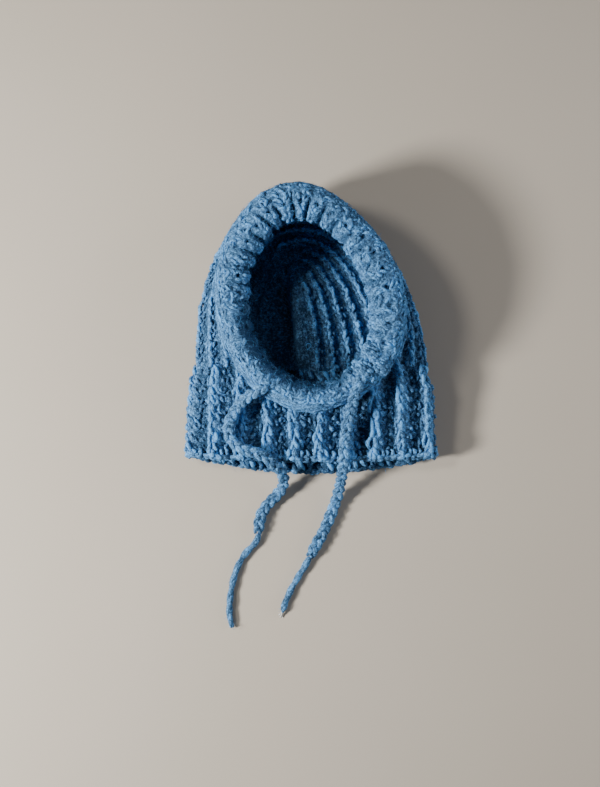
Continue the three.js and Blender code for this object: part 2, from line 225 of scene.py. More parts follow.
@dataclass
class Patch:
    """A stretch of the fabric as a dense grid of its wall's middle and outward normals.

    u counts ribs across the fabric, and v is millimetres or a share along the ribs.
    """

    points: Array
    normals: Array
    u_span: tuple[float, float]
    v_span: tuple[float, float]
    closed_u: bool = False
    closed_v: bool = False

    def _blend(self, grid: Array, u: Array, v: Array) -> Array:
        """Reads a grid between its points.

        Args:
            grid: the points or the normals.
            u: place across the ribs.
            v: place along the ribs.

        Returns:
            The grid's value at each place.
        """
        nu, nv = grid.shape[:2]
        x = (u - self.u_span[0]) / (self.u_span[1] - self.u_span[0]) * (nu - 1)
        y = (v - self.v_span[0]) / (self.v_span[1] - self.v_span[0]) * (nv - 1)
        x = np.mod(x, nu - 1) if self.closed_u else np.clip(x, 0, nu - GRID_MARGIN)
        y = np.mod(y, nv - 1) if self.closed_v else np.clip(y, 0, nv - GRID_MARGIN)
        i, j = np.floor(x).astype(int), np.floor(y).astype(int)
        i, j = np.minimum(i, nu - 2), np.minimum(j, nv - 2)
        f, g = (x - i)[..., None], (y - j)[..., None]
        low = grid[i, j] * (1 - f) + grid[i + 1, j] * f
        high = grid[i, j + 1] * (1 - f) + grid[i + 1, j + 1] * f
        return low * (1 - g) + high * g

    def place(self, u: Array, v: Array, height: Array) -> Array:
        """Puts points at a height above the wall's middle, in millimetres.

        Args:
            u: place across the ribs.
            v: place along the ribs.
            height: millimetres from the wall's middle, outward.

        Returns:
            The points, in the maker's frame.
        """
        normal = self.normal(u, v)
        return self._blend(self.points, u, v) + normal * height[..., None]

    def normal(self, u: Array, v: Array) -> Array:
        """Gives the outward normal at each place."""
        return unit(self._blend(self.normals, u, v))

    def turned(self) -> "Patch":
        """Gives the same surface seen from its other side."""
        return replace(self, normals=-self.normals)


@dataclass
class NeckForm:
    """The flattened neck tube: its sections, hem line and the dip under the chin."""

    # y, middle x, half width, back layer's z, front layer's z
    sections: Array
    squareness: float = 2.8
    top_y: float = 111.0
    hem_back: float = -7.0
    hem_front: float = 5.0
    hem_side: float = 10.0
    chin_x: float = -3.0
    chin_y: float = 78.0
    chin_half_width: float = 70.0
    ribs: int = 19
    rib_shift: float = -0.26
    # Start, end and number of rows. Both stretches run past the ends of the cloth.
    table_rows: tuple[float, float, int] = (-16.0, 134.0, 60)
    patch_rows: tuple[float, float, int] = (-6.0, 122.0, 44)
    columns_per_rib: int = 24
    round_steps: int = 721

    def section(self, y: float, share: Array) -> tuple[Array, Array, Array]:
        """Gives the wall's middle in one section.

        Args:
            y: the section's place from the hem.
            share: shares of the way round, from the middle of the back up the left side.

        Returns:
            The points, how far each is out to a side (-1 to 1), and how far to the front (0 to 1).
        """
        row = smooth(self.sections, place_of(self.sections[:, 0], np.array([y])), False)[0]
        _, middle, half_width, back, front = row
        turn = -math.pi / 2 - np.linspace(0, 2 * math.pi, self.round_steps)
        c, s = rounded_unit(turn, self.squareness)
        z = (back + front) / 2 + (front - back) / 2 * s
        line = np.stack([middle + half_width * c, np.full_like(c, y), z], axis=1)
        length = along_line(line)
        at = np.mod(share, 1.0) * length[-1]
        points = np.stack([np.interp(at, length, line[:, k]) for k in range(3)], axis=-1)
        return points, np.interp(at, length, c), np.interp(at, length, (s + 1) / 2)

    def edges(self, share: Array) -> tuple[Array, Array]:
        """Gives where the cloth starts and ends.

        Args:
            share: shares of the way round.

        Returns:
            The y of the hem and of the top edge at each share.
        """
        _, side, front = self.section(0.0, share)
        middle = self.hem_back + (self.hem_front - self.hem_back) * front
        hem = middle + (self.hem_side - middle) * side**2
        high, _, high_front = self.section(self.top_y, share)
        from_chin = (high[..., 0] - self.chin_x) / self.chin_half_width
        chin = np.minimum(self.chin_y + (self.top_y - self.chin_y) * from_chin**2, self.top_y)
        return hem, np.where(high_front > 0.5, chin, self.top_y)

    def patch(self) -> Patch:
        """Gives the neck's surface.

        Returns:
            The surface, where u counts ribs round it and v is millimetres from the hem.
        """
        share = np.linspace(0, 1, self.ribs * self.columns_per_rib + 1)
        hem, _ = self.edges(share)
        v = np.linspace(*self.patch_rows)
        ys = np.linspace(*self.table_rows)
        table = np.stack([self.section(y, share)[0] for y in ys], axis=1)
        points = np.empty((len(share), len(v), 3))
        for i, k in itertools.product(range(len(share)), range(3)):
            points[i, :, k] = np.interp(hem[i] + v, ys, table[i, :, k])
        across = np.empty_like(points)
        across[1:-1] = points[2:] - points[:-2]
        across[0] = across[-1] = points[1] - points[-2]
        normals = unit(np.cross(across, np.gradient(points, axis=1)))
        return Patch(points, normals, (0, self.ribs), self.patch_rows[:2], closed_u=True)


@dataclass
class BandForm:
    """The rolled band round the face opening."""

    # x, y, z, half width across the roll, half thickness, tilt in degrees
    sections: Array
    squareness: float = 2.2
    ribs: int = 30
    columns_per_rib: int = 16
    turn_steps: int = 93
    line_steps: int = 960
    # The roll's direction is measured over this share of the ring, on each side.
    aim: float = 0.004

    def line(self, share: Array) -> Array:
        """Gives the roll's middle, half sizes and tilt.

        Args:
            share: shares of the ring's length, from the crown down the left side.

        Returns:
            x, y, z, half width, half thickness and tilt at each share.
        """
        step = np.arange(self.line_steps + 1) % self.line_steps
        rows = smooth(self.sections, step * len(self.sections) / self.line_steps, True)
        length = along_line(rows[:, :3])
        at = np.mod(share, 1.0) * length[-1]
        return np.stack([np.interp(at, length, rows[:, k]) for k in range(6)], axis=-1)

    def axes(self, share: Array) -> tuple[Array, Array, Array]:
        """Gives the directions of the roll's sections.

        Args:
            share: shares of the ring's length.

        Returns:
            The ways along the ring, outward and up, the last two leaned by the tilt.
        """
        ahead = self.line(share + self.aim)[..., :3] - self.line(share - self.aim)[..., :3]
        along = unit(ahead)
        up = unit(np.array([0.0, 0.0, 1.0]) - along * along[..., 2:3])
        out = unit(np.cross(up, along))
        lean = np.radians(self.line(share)[..., 5])[..., None]
        cos, sin = np.cos(lean), np.sin(lean)
        leaned_out = out * cos + np.cross(along, out) * sin
        leaned_up = up * cos + np.cross(along, up) * sin
        return along, leaned_out, leaned_up

    def patch(self) -> Patch:
        """Gives the band's surface.

        Returns:
            The surface, where u counts ribs round the ring and v is the turn round the roll: 0 at
            the outer side, 0.25 on top, 0.5 at the inner side and 0.75 underneath.
        """
        share = np.linspace(0, 1, self.ribs * self.columns_per_rib + 1)
        turn = math.pi - np.linspace(0, 2 * math.pi, self.turn_steps)
        rows = self.line(share)
        _, out, up = self.axes(share)
        c, s = (part[None, :, None] for part in rounded_unit(turn, self.squareness))
        wide, thick = rows[:, None, 3:4], rows[:, None, 4:5]
        points = rows[:, None, :3] + out[:, None] * wide * c + up[:, None] * thick * s
        normals = unit(out[:, None] * c / wide + up[:, None] * s / thick)
        return Patch(points, normals, (0, self.ribs), (0, 1), closed_u=True, closed_v=True)


@dataclass
class HoodForm:
    """The ribbed bowl round the head: nested arches from the face edge to the back seam."""

    neck: NeckForm
    band: BandForm
    # share across from the face edge to the seam, x, y, z of the top of each arch
    crown: Array
    ribs: int = 12
    inset: float = 2.5
    left_squareness: float = 2.16
    right_squareness: float = 1.9
    edge_share: float = 0.3
    foot_share: float = 0.08
    gap: float = 0.4
    fold_height: float = 19.0
    fold_rise: float = 3.0
    fold_width: float = 62.0
    fold_start: float = 113.0
    fold_end: float = 262.0
    fold_near_x: float = -13.0
    fold_far_x: float = -27.0
    fold_far_y: float = 205.0
    fold_ceiling: float = 46.0
    # How far the fold takes to fade in from its start, out to its end and up to its ceiling.
    fold_fades: tuple[float, float, float] = (40.0, 60.0, 24.0)
    columns_per_rib: int = 12
    rows: int = 241
    seam_rows: int = 3
    seam_droop: float = 2.0

    def crossings(self) -> tuple[float, float, float]:
        """Finds where the band crosses the neck's top line.

        Returns:
            The band's shares at its left and right crossings, and the neck's share at the left.
        """
        share = np.linspace(0, 0.5, 401)
        left = share[np.argmax(self.band.line(share)[:, 1] <= self.neck.top_y)]
        right = 1 - share[np.argmax(self.band.line(1 - share)[:, 1] <= self.neck.top_y)]
        wanted = self.band.line(np.array([left]))[0, 0]
        fine = np.linspace(0.5, 0.25, 501)
        rim = self.neck.section(self.neck.top_y, fine)[0][:, 0]
        return float(left), float(right), float(fine[np.argmax(rim <= wanted)])

    def arch(
        self,
        half: Array | float,
        foot: float,
        base_z: Array | float,
        top: Array,
        turn: tuple[Array, Array],
    ) -> Array:
        """Gives points of arches that stand on the neck's top line.

        Args:
            half: the arches' half widths.
            foot: y of their feet.
            base_z: z of their feet.
            top: x, y and z of their tops.
            turn: the cosine and sine of each point's place on its arch.

        Returns:
            The points, in the maker's frame.
        """
        rim_x = self.neck.sections[-1, 1]
        x = rim_x + half * turn[0] + (top[..., 0] - rim_x) * turn[1]
        y = foot + (top[..., 1] - self.neck.top_y) * turn[1]
        return np.stack([x, y, base_z + (top[..., 2] - base_z) * turn[1]], axis=-1)

    def middle(self, across: Array, along: Array) -> Array:
        """Gives the wall's middle on a grid.

        Args:
            across: shares from the face edge to the seam, down the grid.
            along: shares from the left side of the neck to the right, along the grid.

        Returns:
            The points, in the maker's frame.
        """
        left, right, edge = self.crossings()
        neck, line = self.neck, self.neck.top_y
        rim_x, rim_half = neck.sections[-1, 1], neck.sections[-1, 2]
        base = neck.section(line, edge * (1 - across[:, 0]))[0][:, None]
        top = smooth(self.crown[:, 1:], place_of(self.crown[:, 0], across[:, 0]), False)[:, None]
        angle = math.pi * (1 - along)
        square = np.where(along < 0.5, self.left_squareness, self.right_squareness)
        half = (rim_x - base[..., 0]) * (1 - self.inset / rim_half)
        turn = rounded_unit(angle, square)
        points = self.arch(half, line + self.gap / 2, base[..., 2], top, turn)
        near = np.minimum(along, 1 - along)
        hold = (1 - ramp(0, self.edge_share, across)) * ramp(0, self.foot_share, near)
        share = np.where(along < 0.5, left * (1 - 2 * along), (right - 1) * (2 * along - 1))
        on_band = self.band.line(share)[..., :3]
        first = neck.section(line, np.array([edge]))[0][0]
        plain_turn = (np.cos(angle), np.sin(angle))
        plain = self.arch(rim_x - first[0], line, first[2], self.crown[0, 1:], plain_turn)
        points = points + (on_band - plain) * hold[..., None]
        points[..., 2] += self.fold(points)
        return points

    def fold_edge(self, y: Array) -> Array:
        """Gives where the fold's edge lies across the hood, at each place up from the hem."""
        share = np.clip((y - self.neck.top_y) / (self.fold_far_y - self.neck.top_y), 0, 1)
        return self.fold_near_x + (self.fold_far_x - self.fold_near_x) * share

    def fold(self, points: Array) -> Array:
        """Gives how far the back is pushed up right of the fold's edge.

        Args:
            points: places on the hood, in the maker's frame.

        Returns:
            Millimetres up at each place.
        """
        x, y, z = points[..., 0], points[..., 1], points[..., 2]
        fade_in, fade_out, fade_up = self.fold_fades
        from_edge = np.maximum(x - self.fold_edge(y), 0)
        near = ramp(self.fold_start, self.fold_start + fade_in, y)
        far = 1 - ramp(self.fold_end - fade_out, self.fold_end, y)
        low = 1 - ramp(self.fold_ceiling - fade_up, self.fold_ceiling, z)
        flank = 1 - np.exp(-from_edge / self.fold_rise)
        bulge = np.exp(-((from_edge / self.fold_width) ** 2))
        return self.fold_height * flank * bulge * near * far * low

    def patch(self) -> Patch:
        """Gives the hood's surface.

        Returns:
            The surface, where u counts ribs from the face edge and v is the share along them.
        """
        across = np.linspace(0, 1, self.ribs * self.columns_per_rib + 1)[:, None]
        along = np.linspace(0, 1, self.rows)[None, :]
        points = self.middle(*np.broadcast_arrays(across, along))
        normals = unit(np.cross(np.gradient(points, axis=1), np.gradient(points, axis=0)))
        # The arches shrink to nothing at the seam, where the outer face looks down.
        droop = np.array([0.0, 0.0, -self.seam_droop])
        normals[-self.seam_rows :] = unit(normals[-self.seam_rows :] + droop)
        return Patch(points, normals, (0, self.ribs), (0, 1))


# Yarn.


@dataclass
class Strands:
    """A batch of short plump lengths of yarn on one patch, each through three points."""

    # (count, 3 points, u v height)
    knots: Array
    radius: Array
    tone: Array

    @staticmethod
    def joined(batches: list["Strands"]) -> "Strands":
        """Puts several batches together."""
        return Strands(
            np.concatenate([b.knots for b in batches]),
            np.concatenate([b.radius for b in batches]),
            np.concatenate([b.tone for b in batches]),
        )

    def kept(self, keep: Array) -> "Strands":
        """Gives the strands that a mask keeps."""
        return Strands(self.knots[keep], self.radius[keep], self.tone[keep])


@dataclass(frozen=True)
class YarnCut:
    """How a strand of yarn is cut into faces, how it tapers and how uneven it is."""

    rings: int
    sides: int
    end_share: float = 0.42
    flatness: float = 0.86
    taper_power: float = 2.2
    # How thick and thin the yarn runs, and how far its middle strays, in millimetres.
    uneven: tuple[float, float] = (0.84, 1.16)
    stray: float = 0.3


@dataclass
class TubeMesh:
    """Closed tubes as arrays: points in millimetres, with length and turn for the yarn's map."""

    points: Array
    length: Array
    tone: Array
    proud: Array
    rings: int
    sides: int


def tubes_from_lines(
    lines: Array, up: Array, radius: Array, flatness: float, sides: int, tone: Array, proud: Array
) -> TubeMesh:
    """Sweeps round sections along many lines at once and closes their ends.

    Args:
        lines: (count, rings, 3) points in millimetres.
        up: (count, rings, 3) directions that the sections' thin side faces.
        radius: (count, rings) radii in millimetres.
        flatness: thickness as a share of the width.
        sides: points round a section.
        tone: (count,) lightness of each strand, about zero.
        proud: (count, rings) how far each ring stands out of the fabric, 0 to 1, which the material
            turns into painted shade where it is low and painted highlight where it is high.

    Returns:
        The tubes.
    """
    count, rings = lines.shape[:2]
    ahead = unit(np.gradient(lines, axis=1))
    side = unit(np.cross(ahead, up))
    lifted = np.cross(side, ahead)
    turn = np.linspace(0, 2 * math.pi, sides, endpoint=False)
    ring = (
        side[:, :, None] * np.cos(turn)[None, None, :, None]
        + lifted[:, :, None] * np.sin(turn)[None, None, :, None] * flatness
    ) * radius[:, :, None, None]
    body = (lines[:, :, None] + ring).reshape(count, rings * sides, 3)
    first = lines[:, 0] - ahead[:, 0] * radius[:, 0, None] * TIP_SHARE
    last = lines[:, -1] + ahead[:, -1] * radius[:, -1, None] * TIP_SHARE
    points = np.concatenate([body, np.stack([first, last], axis=1)], axis=1)
    points[..., 2] = np.maximum(points[..., 2], FLOOR_LIFT)
    steps = np.linalg.norm(np.diff(lines, axis=1), axis=2)
    length = np.concatenate([np.zeros((count, 1)), np.cumsum(steps, axis=1)], axis=1)
    return TubeMesh(points, length, tone, proud, rings, sides)


def tube_object(name: str, tubes: TubeMesh, seed: int) -> bpy.types.Object:
    """Makes one object of many closed tubes, with the yarn's map and tones.

    Args:
        name: the object's name.
        tubes: the tubes.
        seed: where each strand starts on the yarn's map.

    Returns:
        The object, at the origin.
    """
    count, per = tubes.points.shape[:2]
    rings, sides = tubes.rings, tubes.sides
    i, j = np.meshgrid(np.arange(rings - 1), np.arange(sides), indexing="ij")
    k = (j + 1) % sides
    quads = np.stack([i * sides + j, i * sides + k, (i + 1) * sides + k, (i + 1) * sides + j], -1)
    quads = quads.reshape(-1, 4)
    quad_ring = np.stack([i, i, i + 1, i + 1], -1).reshape(-1, 4)
    quad_turn = np.stack([j, j + 1, j + 1, j], -1).reshape(-1, 4)
    m = np.arange(sides)
    n = (m + 1) % sides
    first, last = rings * sides, rings * sides + 1
    end = (rings - 1) * sides
    near_fan = np.stack([np.full(sides, first), n, m], -1)
    far_fan = np.stack([np.full(sides, last), end + m, end + n], -1)
    fans = np.concatenate([near_fan, far_fan])
    fan_ring = np.concatenate([np.zeros((sides, 3)), np.full((sides, 3), rings - 1)])
    fan_turn = np.concatenate([np.stack([m, m + 1, m], -1), np.stack([m, m, m + 1], -1)])
    offset = (np.arange(count) * per)[:, None, None]
    loops = np.concatenate([(quads[None] + offset).ravel(), (fans[None] + offset).ravel()])
    n_quads, n_fans = count * len(quads), count * len(fans)
    starts = np.concatenate([np.arange(n_quads) * 4, n_quads * 4 + np.arange(n_fans) * 3])
    mesh = bpy.data.meshes.new(name)
    mesh.vertices.add(count * per)
    mesh.vertices.foreach_set("co", row_metres(tubes.points).astype(np.float32).ravel())
    mesh.loops.add(len(loops))
    mesh.loops.foreach_set("vertex_index", loops.astype(np.int32))
    mesh.polygons.add(n_quads + n_fans)
    mesh.polygons.foreach_set("loop_start", starts.astype(np.int32))
    mesh.update(calc_edges=True)
    mesh.validate()
    mesh.polygons.foreach_set("use_smooth", np.ones(n_quads + n_fans, dtype=bool))
    rng = np.random.default_rng(seed)
    begin = rng.uniform(0, MAP_SPREAD, count)[:, None, None]
    shift = rng.uniform(0, MAP_SPREAD, count)[:, None, None]
    u, v = [], []
    for ring, turn in ((quad_ring, quad_turn), (fan_ring.astype(int), fan_turn)):
        u.append((begin + tubes.length[:, ring]).ravel())
        v.append((shift + turn / sides * YARN_GIRTH).ravel())
    layer = mesh.uv_layers.new(name="yarn")
    uv = np.stack([np.concatenate(u), np.concatenate(v)], -1)
    layer.data.foreach_set("uv", uv.astype(np.float32).ravel())
    set_attribute(mesh, "tone", np.repeat(tubes.tone, per))
    # Each ring's height share, which the material paints as shade when low and highlight when high.
    ring_proud = np.repeat(tubes.proud, sides, axis=1)
    tip_proud = [tubes.proud[:, :1], tubes.proud[:, -1:]]
    set_attribute(mesh, "proud", np.concatenate([ring_proud, *tip_proud], axis=1))
    piece = bpy.data.objects.new(name, mesh)
    bpy.context.collection.objects.link(piece)
    return piece


def strand_tubes(
    patch: Patch, strands: Strands, cut: YarnCut, low: float, high: float
) -> TubeMesh:
    """Bends strands over a patch and sweeps them to tubes.

    Args:
        patch: the fabric's surface.
        strands: the strands, through three points each.
        cut: how finely they are cut.
        low: height in millimetres that counts as sunk in the fabric, painted darkest as shade.
        high: height in millimetres that counts as standing proud, painted lightest as highlight.

    Returns:
        The tubes.
    """
    t = np.linspace(0, 1, cut.rings)
    basis = np.stack([(1 - t) * (1 - 2 * t), 4 * t * (1 - t), t * (2 * t - 1)], axis=0)
    path = np.einsum("skc,kr->src", strands.knots, basis)
    u, v, height = path[..., 0], path[..., 1], path[..., 2]
    lines = patch.place(u, v, height)
    up = patch.normal(u, v)
    taper = 1 - (1 - cut.end_share) * np.abs(2 * t - 1) ** cut.taper_power
    rng = np.random.default_rng(len(strands.radius))
    uneven = rng.uniform(*cut.uneven, (len(strands.radius), cut.rings))
    radius = strands.radius[:, None] * taper[None] * uneven
    lines = lines + rng.normal(0, cut.stray, lines.shape)
    # Lower yarn gets a darker colour from this, as painted shade, and the top a lighter one, as
    # painted highlight.
    proud = np.clip((height - low) / (high - low), 0, 1)
    return tubes_from_lines(lines, up, radius, cut.flatness, cut.sides, strands.tone, proud)


@dataclass(frozen=True)
class Stroke:
    """One length of yarn in a stitch: ribs across, stitches along and millimetres up."""

    start: tuple[float, float, float]
    bend: tuple[float, float, float]
    end: tuple[float, float, float]
    radius: float


def stitch_strands(
    strokes: list[Stroke],
    u: Array,
    v: Array,
    v_step: Array,
    rng: np.random.Generator,
    loose: float,
) -> Strands:
    """Puts a stitch's strokes at every cell, each a little different.

    Args:
        strokes: the stitch.
        u: each cell's place across the ribs.
        v: each cell's place along the ribs.
        v_step: each cell's length along the ribs, in the patch's own measure.
        rng: the maker's hand.
        loose: how uneven the stitches are, in shares of a stitch.

    Returns:
        The strands of all cells.
    """
    batches = []
    count = len(u)
    for stroke in strokes:
        shape = np.array([stroke.start, stroke.bend, stroke.end])
        knots = np.repeat(shape[None], count, axis=0)
        wander = rng.normal(0, loose, (count, 1, 2))
        wander = wander + rng.normal(0, loose * KNOT_SHARE, (count, 3, 2))
        knots[:, :, 0] += wander[..., 0] * ACROSS_SHARE
        knots[:, :, 1] += wander[..., 1]
        lift = rng.normal(0, STITCH_LIFT, (count, 1))
        knots[:, :, 2] += lift + rng.normal(0, KNOT_LIFT, (count, 3))
        knots[:, :, 0] += u[:, None]
        knots[:, :, 1] = v[:, None] + knots[:, :, 1] * v_step[:, None]
        radius = stroke.radius * rng.uniform(*GIRTH_RANGE, count)
        batches.append(Strands(knots, radius, rng.normal(0, 1, count)))
    return Strands.joined(batches)


# Finishes.


def add_node(
    tree: bpy.types.NodeTree, kind: str, settings: dict[str, object], links: dict[str, object]
) -> bpy.types.Node:
    """Adds a node to a tree with its settings and links.

    Args:
        tree: the material's node tree.
        kind: the node's type name.
        settings: attributes by name, and socket values by "in:NAME" or "in:INDEX".
        links: output sockets by the name or index of the input that they feed.

    Returns:
        The node.
    """
    node = tree.nodes.new(kind)
    for key, value in settings.items():
        if key.startswith("in:"):
            name = key[3:]
            socket = node.inputs[int(name)] if name.isdigit() else node.inputs[name]
            socket.default_value = value
        else:
            setattr(node, key, value)
    for key, output in links.items():
        tree.links.new(output, node.inputs[int(key)] if key.isdigit() else node.inputs[key])
    return node


def empty_material(name: str) -> bpy.types.Material:
    """Makes a material whose node tree is empty.

    Args:
        name: the material's name.

    Returns:
        The material.
    """
    material = bpy.data.materials.new(name)
    material.use_nodes = True
    material.node_tree.nodes.clear()
    return material


@dataclass(frozen=True)
class WoolFinish:
    """Brushed super-bulky wool yarn, heathered from several blues before it was spun.

    Pale and navy fibres run along the yarn, so it looks streaked close by and speckled further
    off. The fuzz scatters light, which gives soft bright edges and no gloss. The colour is painted
    darker where the yarn lies sunk in the fabric and lighter on its crests: painted shade and
    painted highlight.
    """

    name: str
    deep: str = "#23405b"
    body: str = "#5882ac"
    light: str = "#6fbcff"
    roughness: float = 0.95
    sheen: float = 0.35
    sheen_roughness: float = 0.55
    sheen_tint: str = "#5fa6ee"
    specular: float = 0.18
    lightness: float = 0.0
    # Where the three colours lie on the blend, from 0 to 1.
    stops: tuple[float, float, float] = (0.12, 0.5, 0.9)

    def material(self) -> bpy.types.Material:
        """Builds the wool's material.

        Returns:
            The material.
        """
        material = empty_material(self.name)
        tree = material.node_tree
        yarn = add_node(tree, "ShaderNodeUVMap", {"uv_map": "yarn"}, {})
        place = add_node(tree, "ShaderNodeTexCoord", {}, {}).outputs["Object"]
        # Fibres are about 8 mm long and 0.8 mm wide where they show: the map is in millimetres.
        along_fibres = {"in:Scale": (0.16, 1.0, 1.0), "in:Rotation": (0.0, 0.0, 0.45)}
        fibres = add_node(
            tree, "ShaderNodeMapping", along_fibres, {"Vector": yarn.outputs["UV"]}
        ).outputs["Vector"]
        source = {}
        for name, vector, scale, detail, roughness in (
            ("streak", fibres, 1.0, 3.0, 0.65),
            # Heather: clumps of one colour of fibre, 3 mm across.
            ("heather", place, 330.0, 2.0, 0.6),
            # Single pale and navy fibres that catch the light, about 1.5 mm apart.
            ("fleck", place, 640.0, 1.0, 0.5),
            # The dye lot drifts slowly, over 25 mm of fabric.
            ("drift", place, 38.0, 1.0, 0.5),
        ):
            grade = {"in:Scale": scale, "in:Detail": detail, "in:Roughness": roughness}
            texture = add_node(tree, "ShaderNodeTexNoise", grade, {"Vector": vector})
            source[name] = texture.outputs["Fac"]
        for name in ("tone", "proud"):
            number = add_node(tree, "ShaderNodeAttribute", {"attribute_name": name}, {})
            source[name] = number.outputs["Fac"]
        # A noise lies about a half, so its shift is minus half its gain.
        total = None
        for name, gain, shift in (
            ("streak", 1.55, -0.775),
            ("heather", 1.5, -0.75),
            ("fleck", 1.1, -0.55),
            ("drift", 0.5, -0.25),
            ("tone", 0.09, 0.0),
            # proud paints sunk yarn darker and its crests lighter: painted shade and painted
            # highlight.
            ("proud", 0.6, -0.42),
        ):
            weight = {"operation": "MULTIPLY_ADD", "in:1": gain, "in:2": shift}
            scaled = add_node(tree, "ShaderNodeMath", weight, {"0": source[name]}).outputs[0]
            # The first term is added to the blend's middle, and each later one to the sum so far.
            onto = {"operation": "ADD", "in:1": 0.5 + self.lightness}
            links = {"0": scaled} if total is None else {"0": total, "1": scaled}
            total = add_node(tree, "ShaderNodeMath", onto, links).outputs[0]
        colour = add_node(tree, "ShaderNodeValToRGB", {}, {"Fac": total})
        elements = colour.color_ramp.elements
        elements.new(self.stops[1])
        for element, at, shade in zip(elements, self.stops, (self.deep, self.body, self.light)):
            element.position, element.color = at, srgb(shade)
        relief = add_node(
            tree,
            "ShaderNodeMath",
            {"operation": "ADD"},
            {"0": source["streak"], "1": source["heather"]},
        )
        rough = add_node(
            tree,
            "ShaderNodeMath",
            {"operation": "MULTIPLY_ADD", "in:1": 0.35},
            {"0": source["fleck"], "2": relief.outputs[0]},
        )
        bump = add_node(
            tree,
            "ShaderNodeBump",
            {"in:Strength": 0.8, "in:Distance": 0.0012},
            {"Height": rough.outputs[0]},
        )
        shader = add_node(
            tree,
            "ShaderNodeBsdfPrincipled",
            {
                "in:Roughness": self.roughness,
                "in:Sheen Weight": self.sheen,
                "in:Sheen Roughness": self.sheen_roughness,
                "in:Sheen Tint": srgb(self.sheen_tint),
                "in:Specular IOR Level": self.specular,
            },
            {"Base Color": colour.outputs["Color"], "Normal": bump.outputs["Normal"]},
        )
        add_node(tree, "ShaderNodeOutputMaterial", {}, {"Surface": shader.outputs["BSDF"]})
        return material


@dataclass(frozen=True)
class FloorFinish:
    """A plain pale matt board, which gives soft shadows and nothing else."""

    name: str = "matt_floor_paint"
    shade: str = "#beb4a6"
    colour: str = "#c6bcae"

    def material(self) -> bpy.types.Material:
        """Builds the floor's material.

        Returns:
            The material.
        """
        material = empty_material(self.name)
        tree = material.node_tree
        place = add_node(tree, "ShaderNodeTexCoord", {}, {})
        cloud = add_node(
            tree, "ShaderNodeTexNoise", {"in:Scale": 3.0}, {"Vector": place.outputs["Object"]}
        )
        tint = add_node(tree, "ShaderNodeValToRGB", {}, {"Fac": cloud.outputs["Fac"]})
        for stop, colour in zip(tint.color_ramp.elements, (self.shade, self.colour)):
            stop.color = srgb(colour)
        base = {"Base Color": tint.outputs["Color"]}
        shader = add_node(tree, "ShaderNodeBsdfPrincipled", {"in:Roughness": 0.8}, base)
        add_node(tree, "ShaderNodeOutputMaterial", {}, {"Surface": shader.outputs["BSDF"]})
        return material


# The pieces.


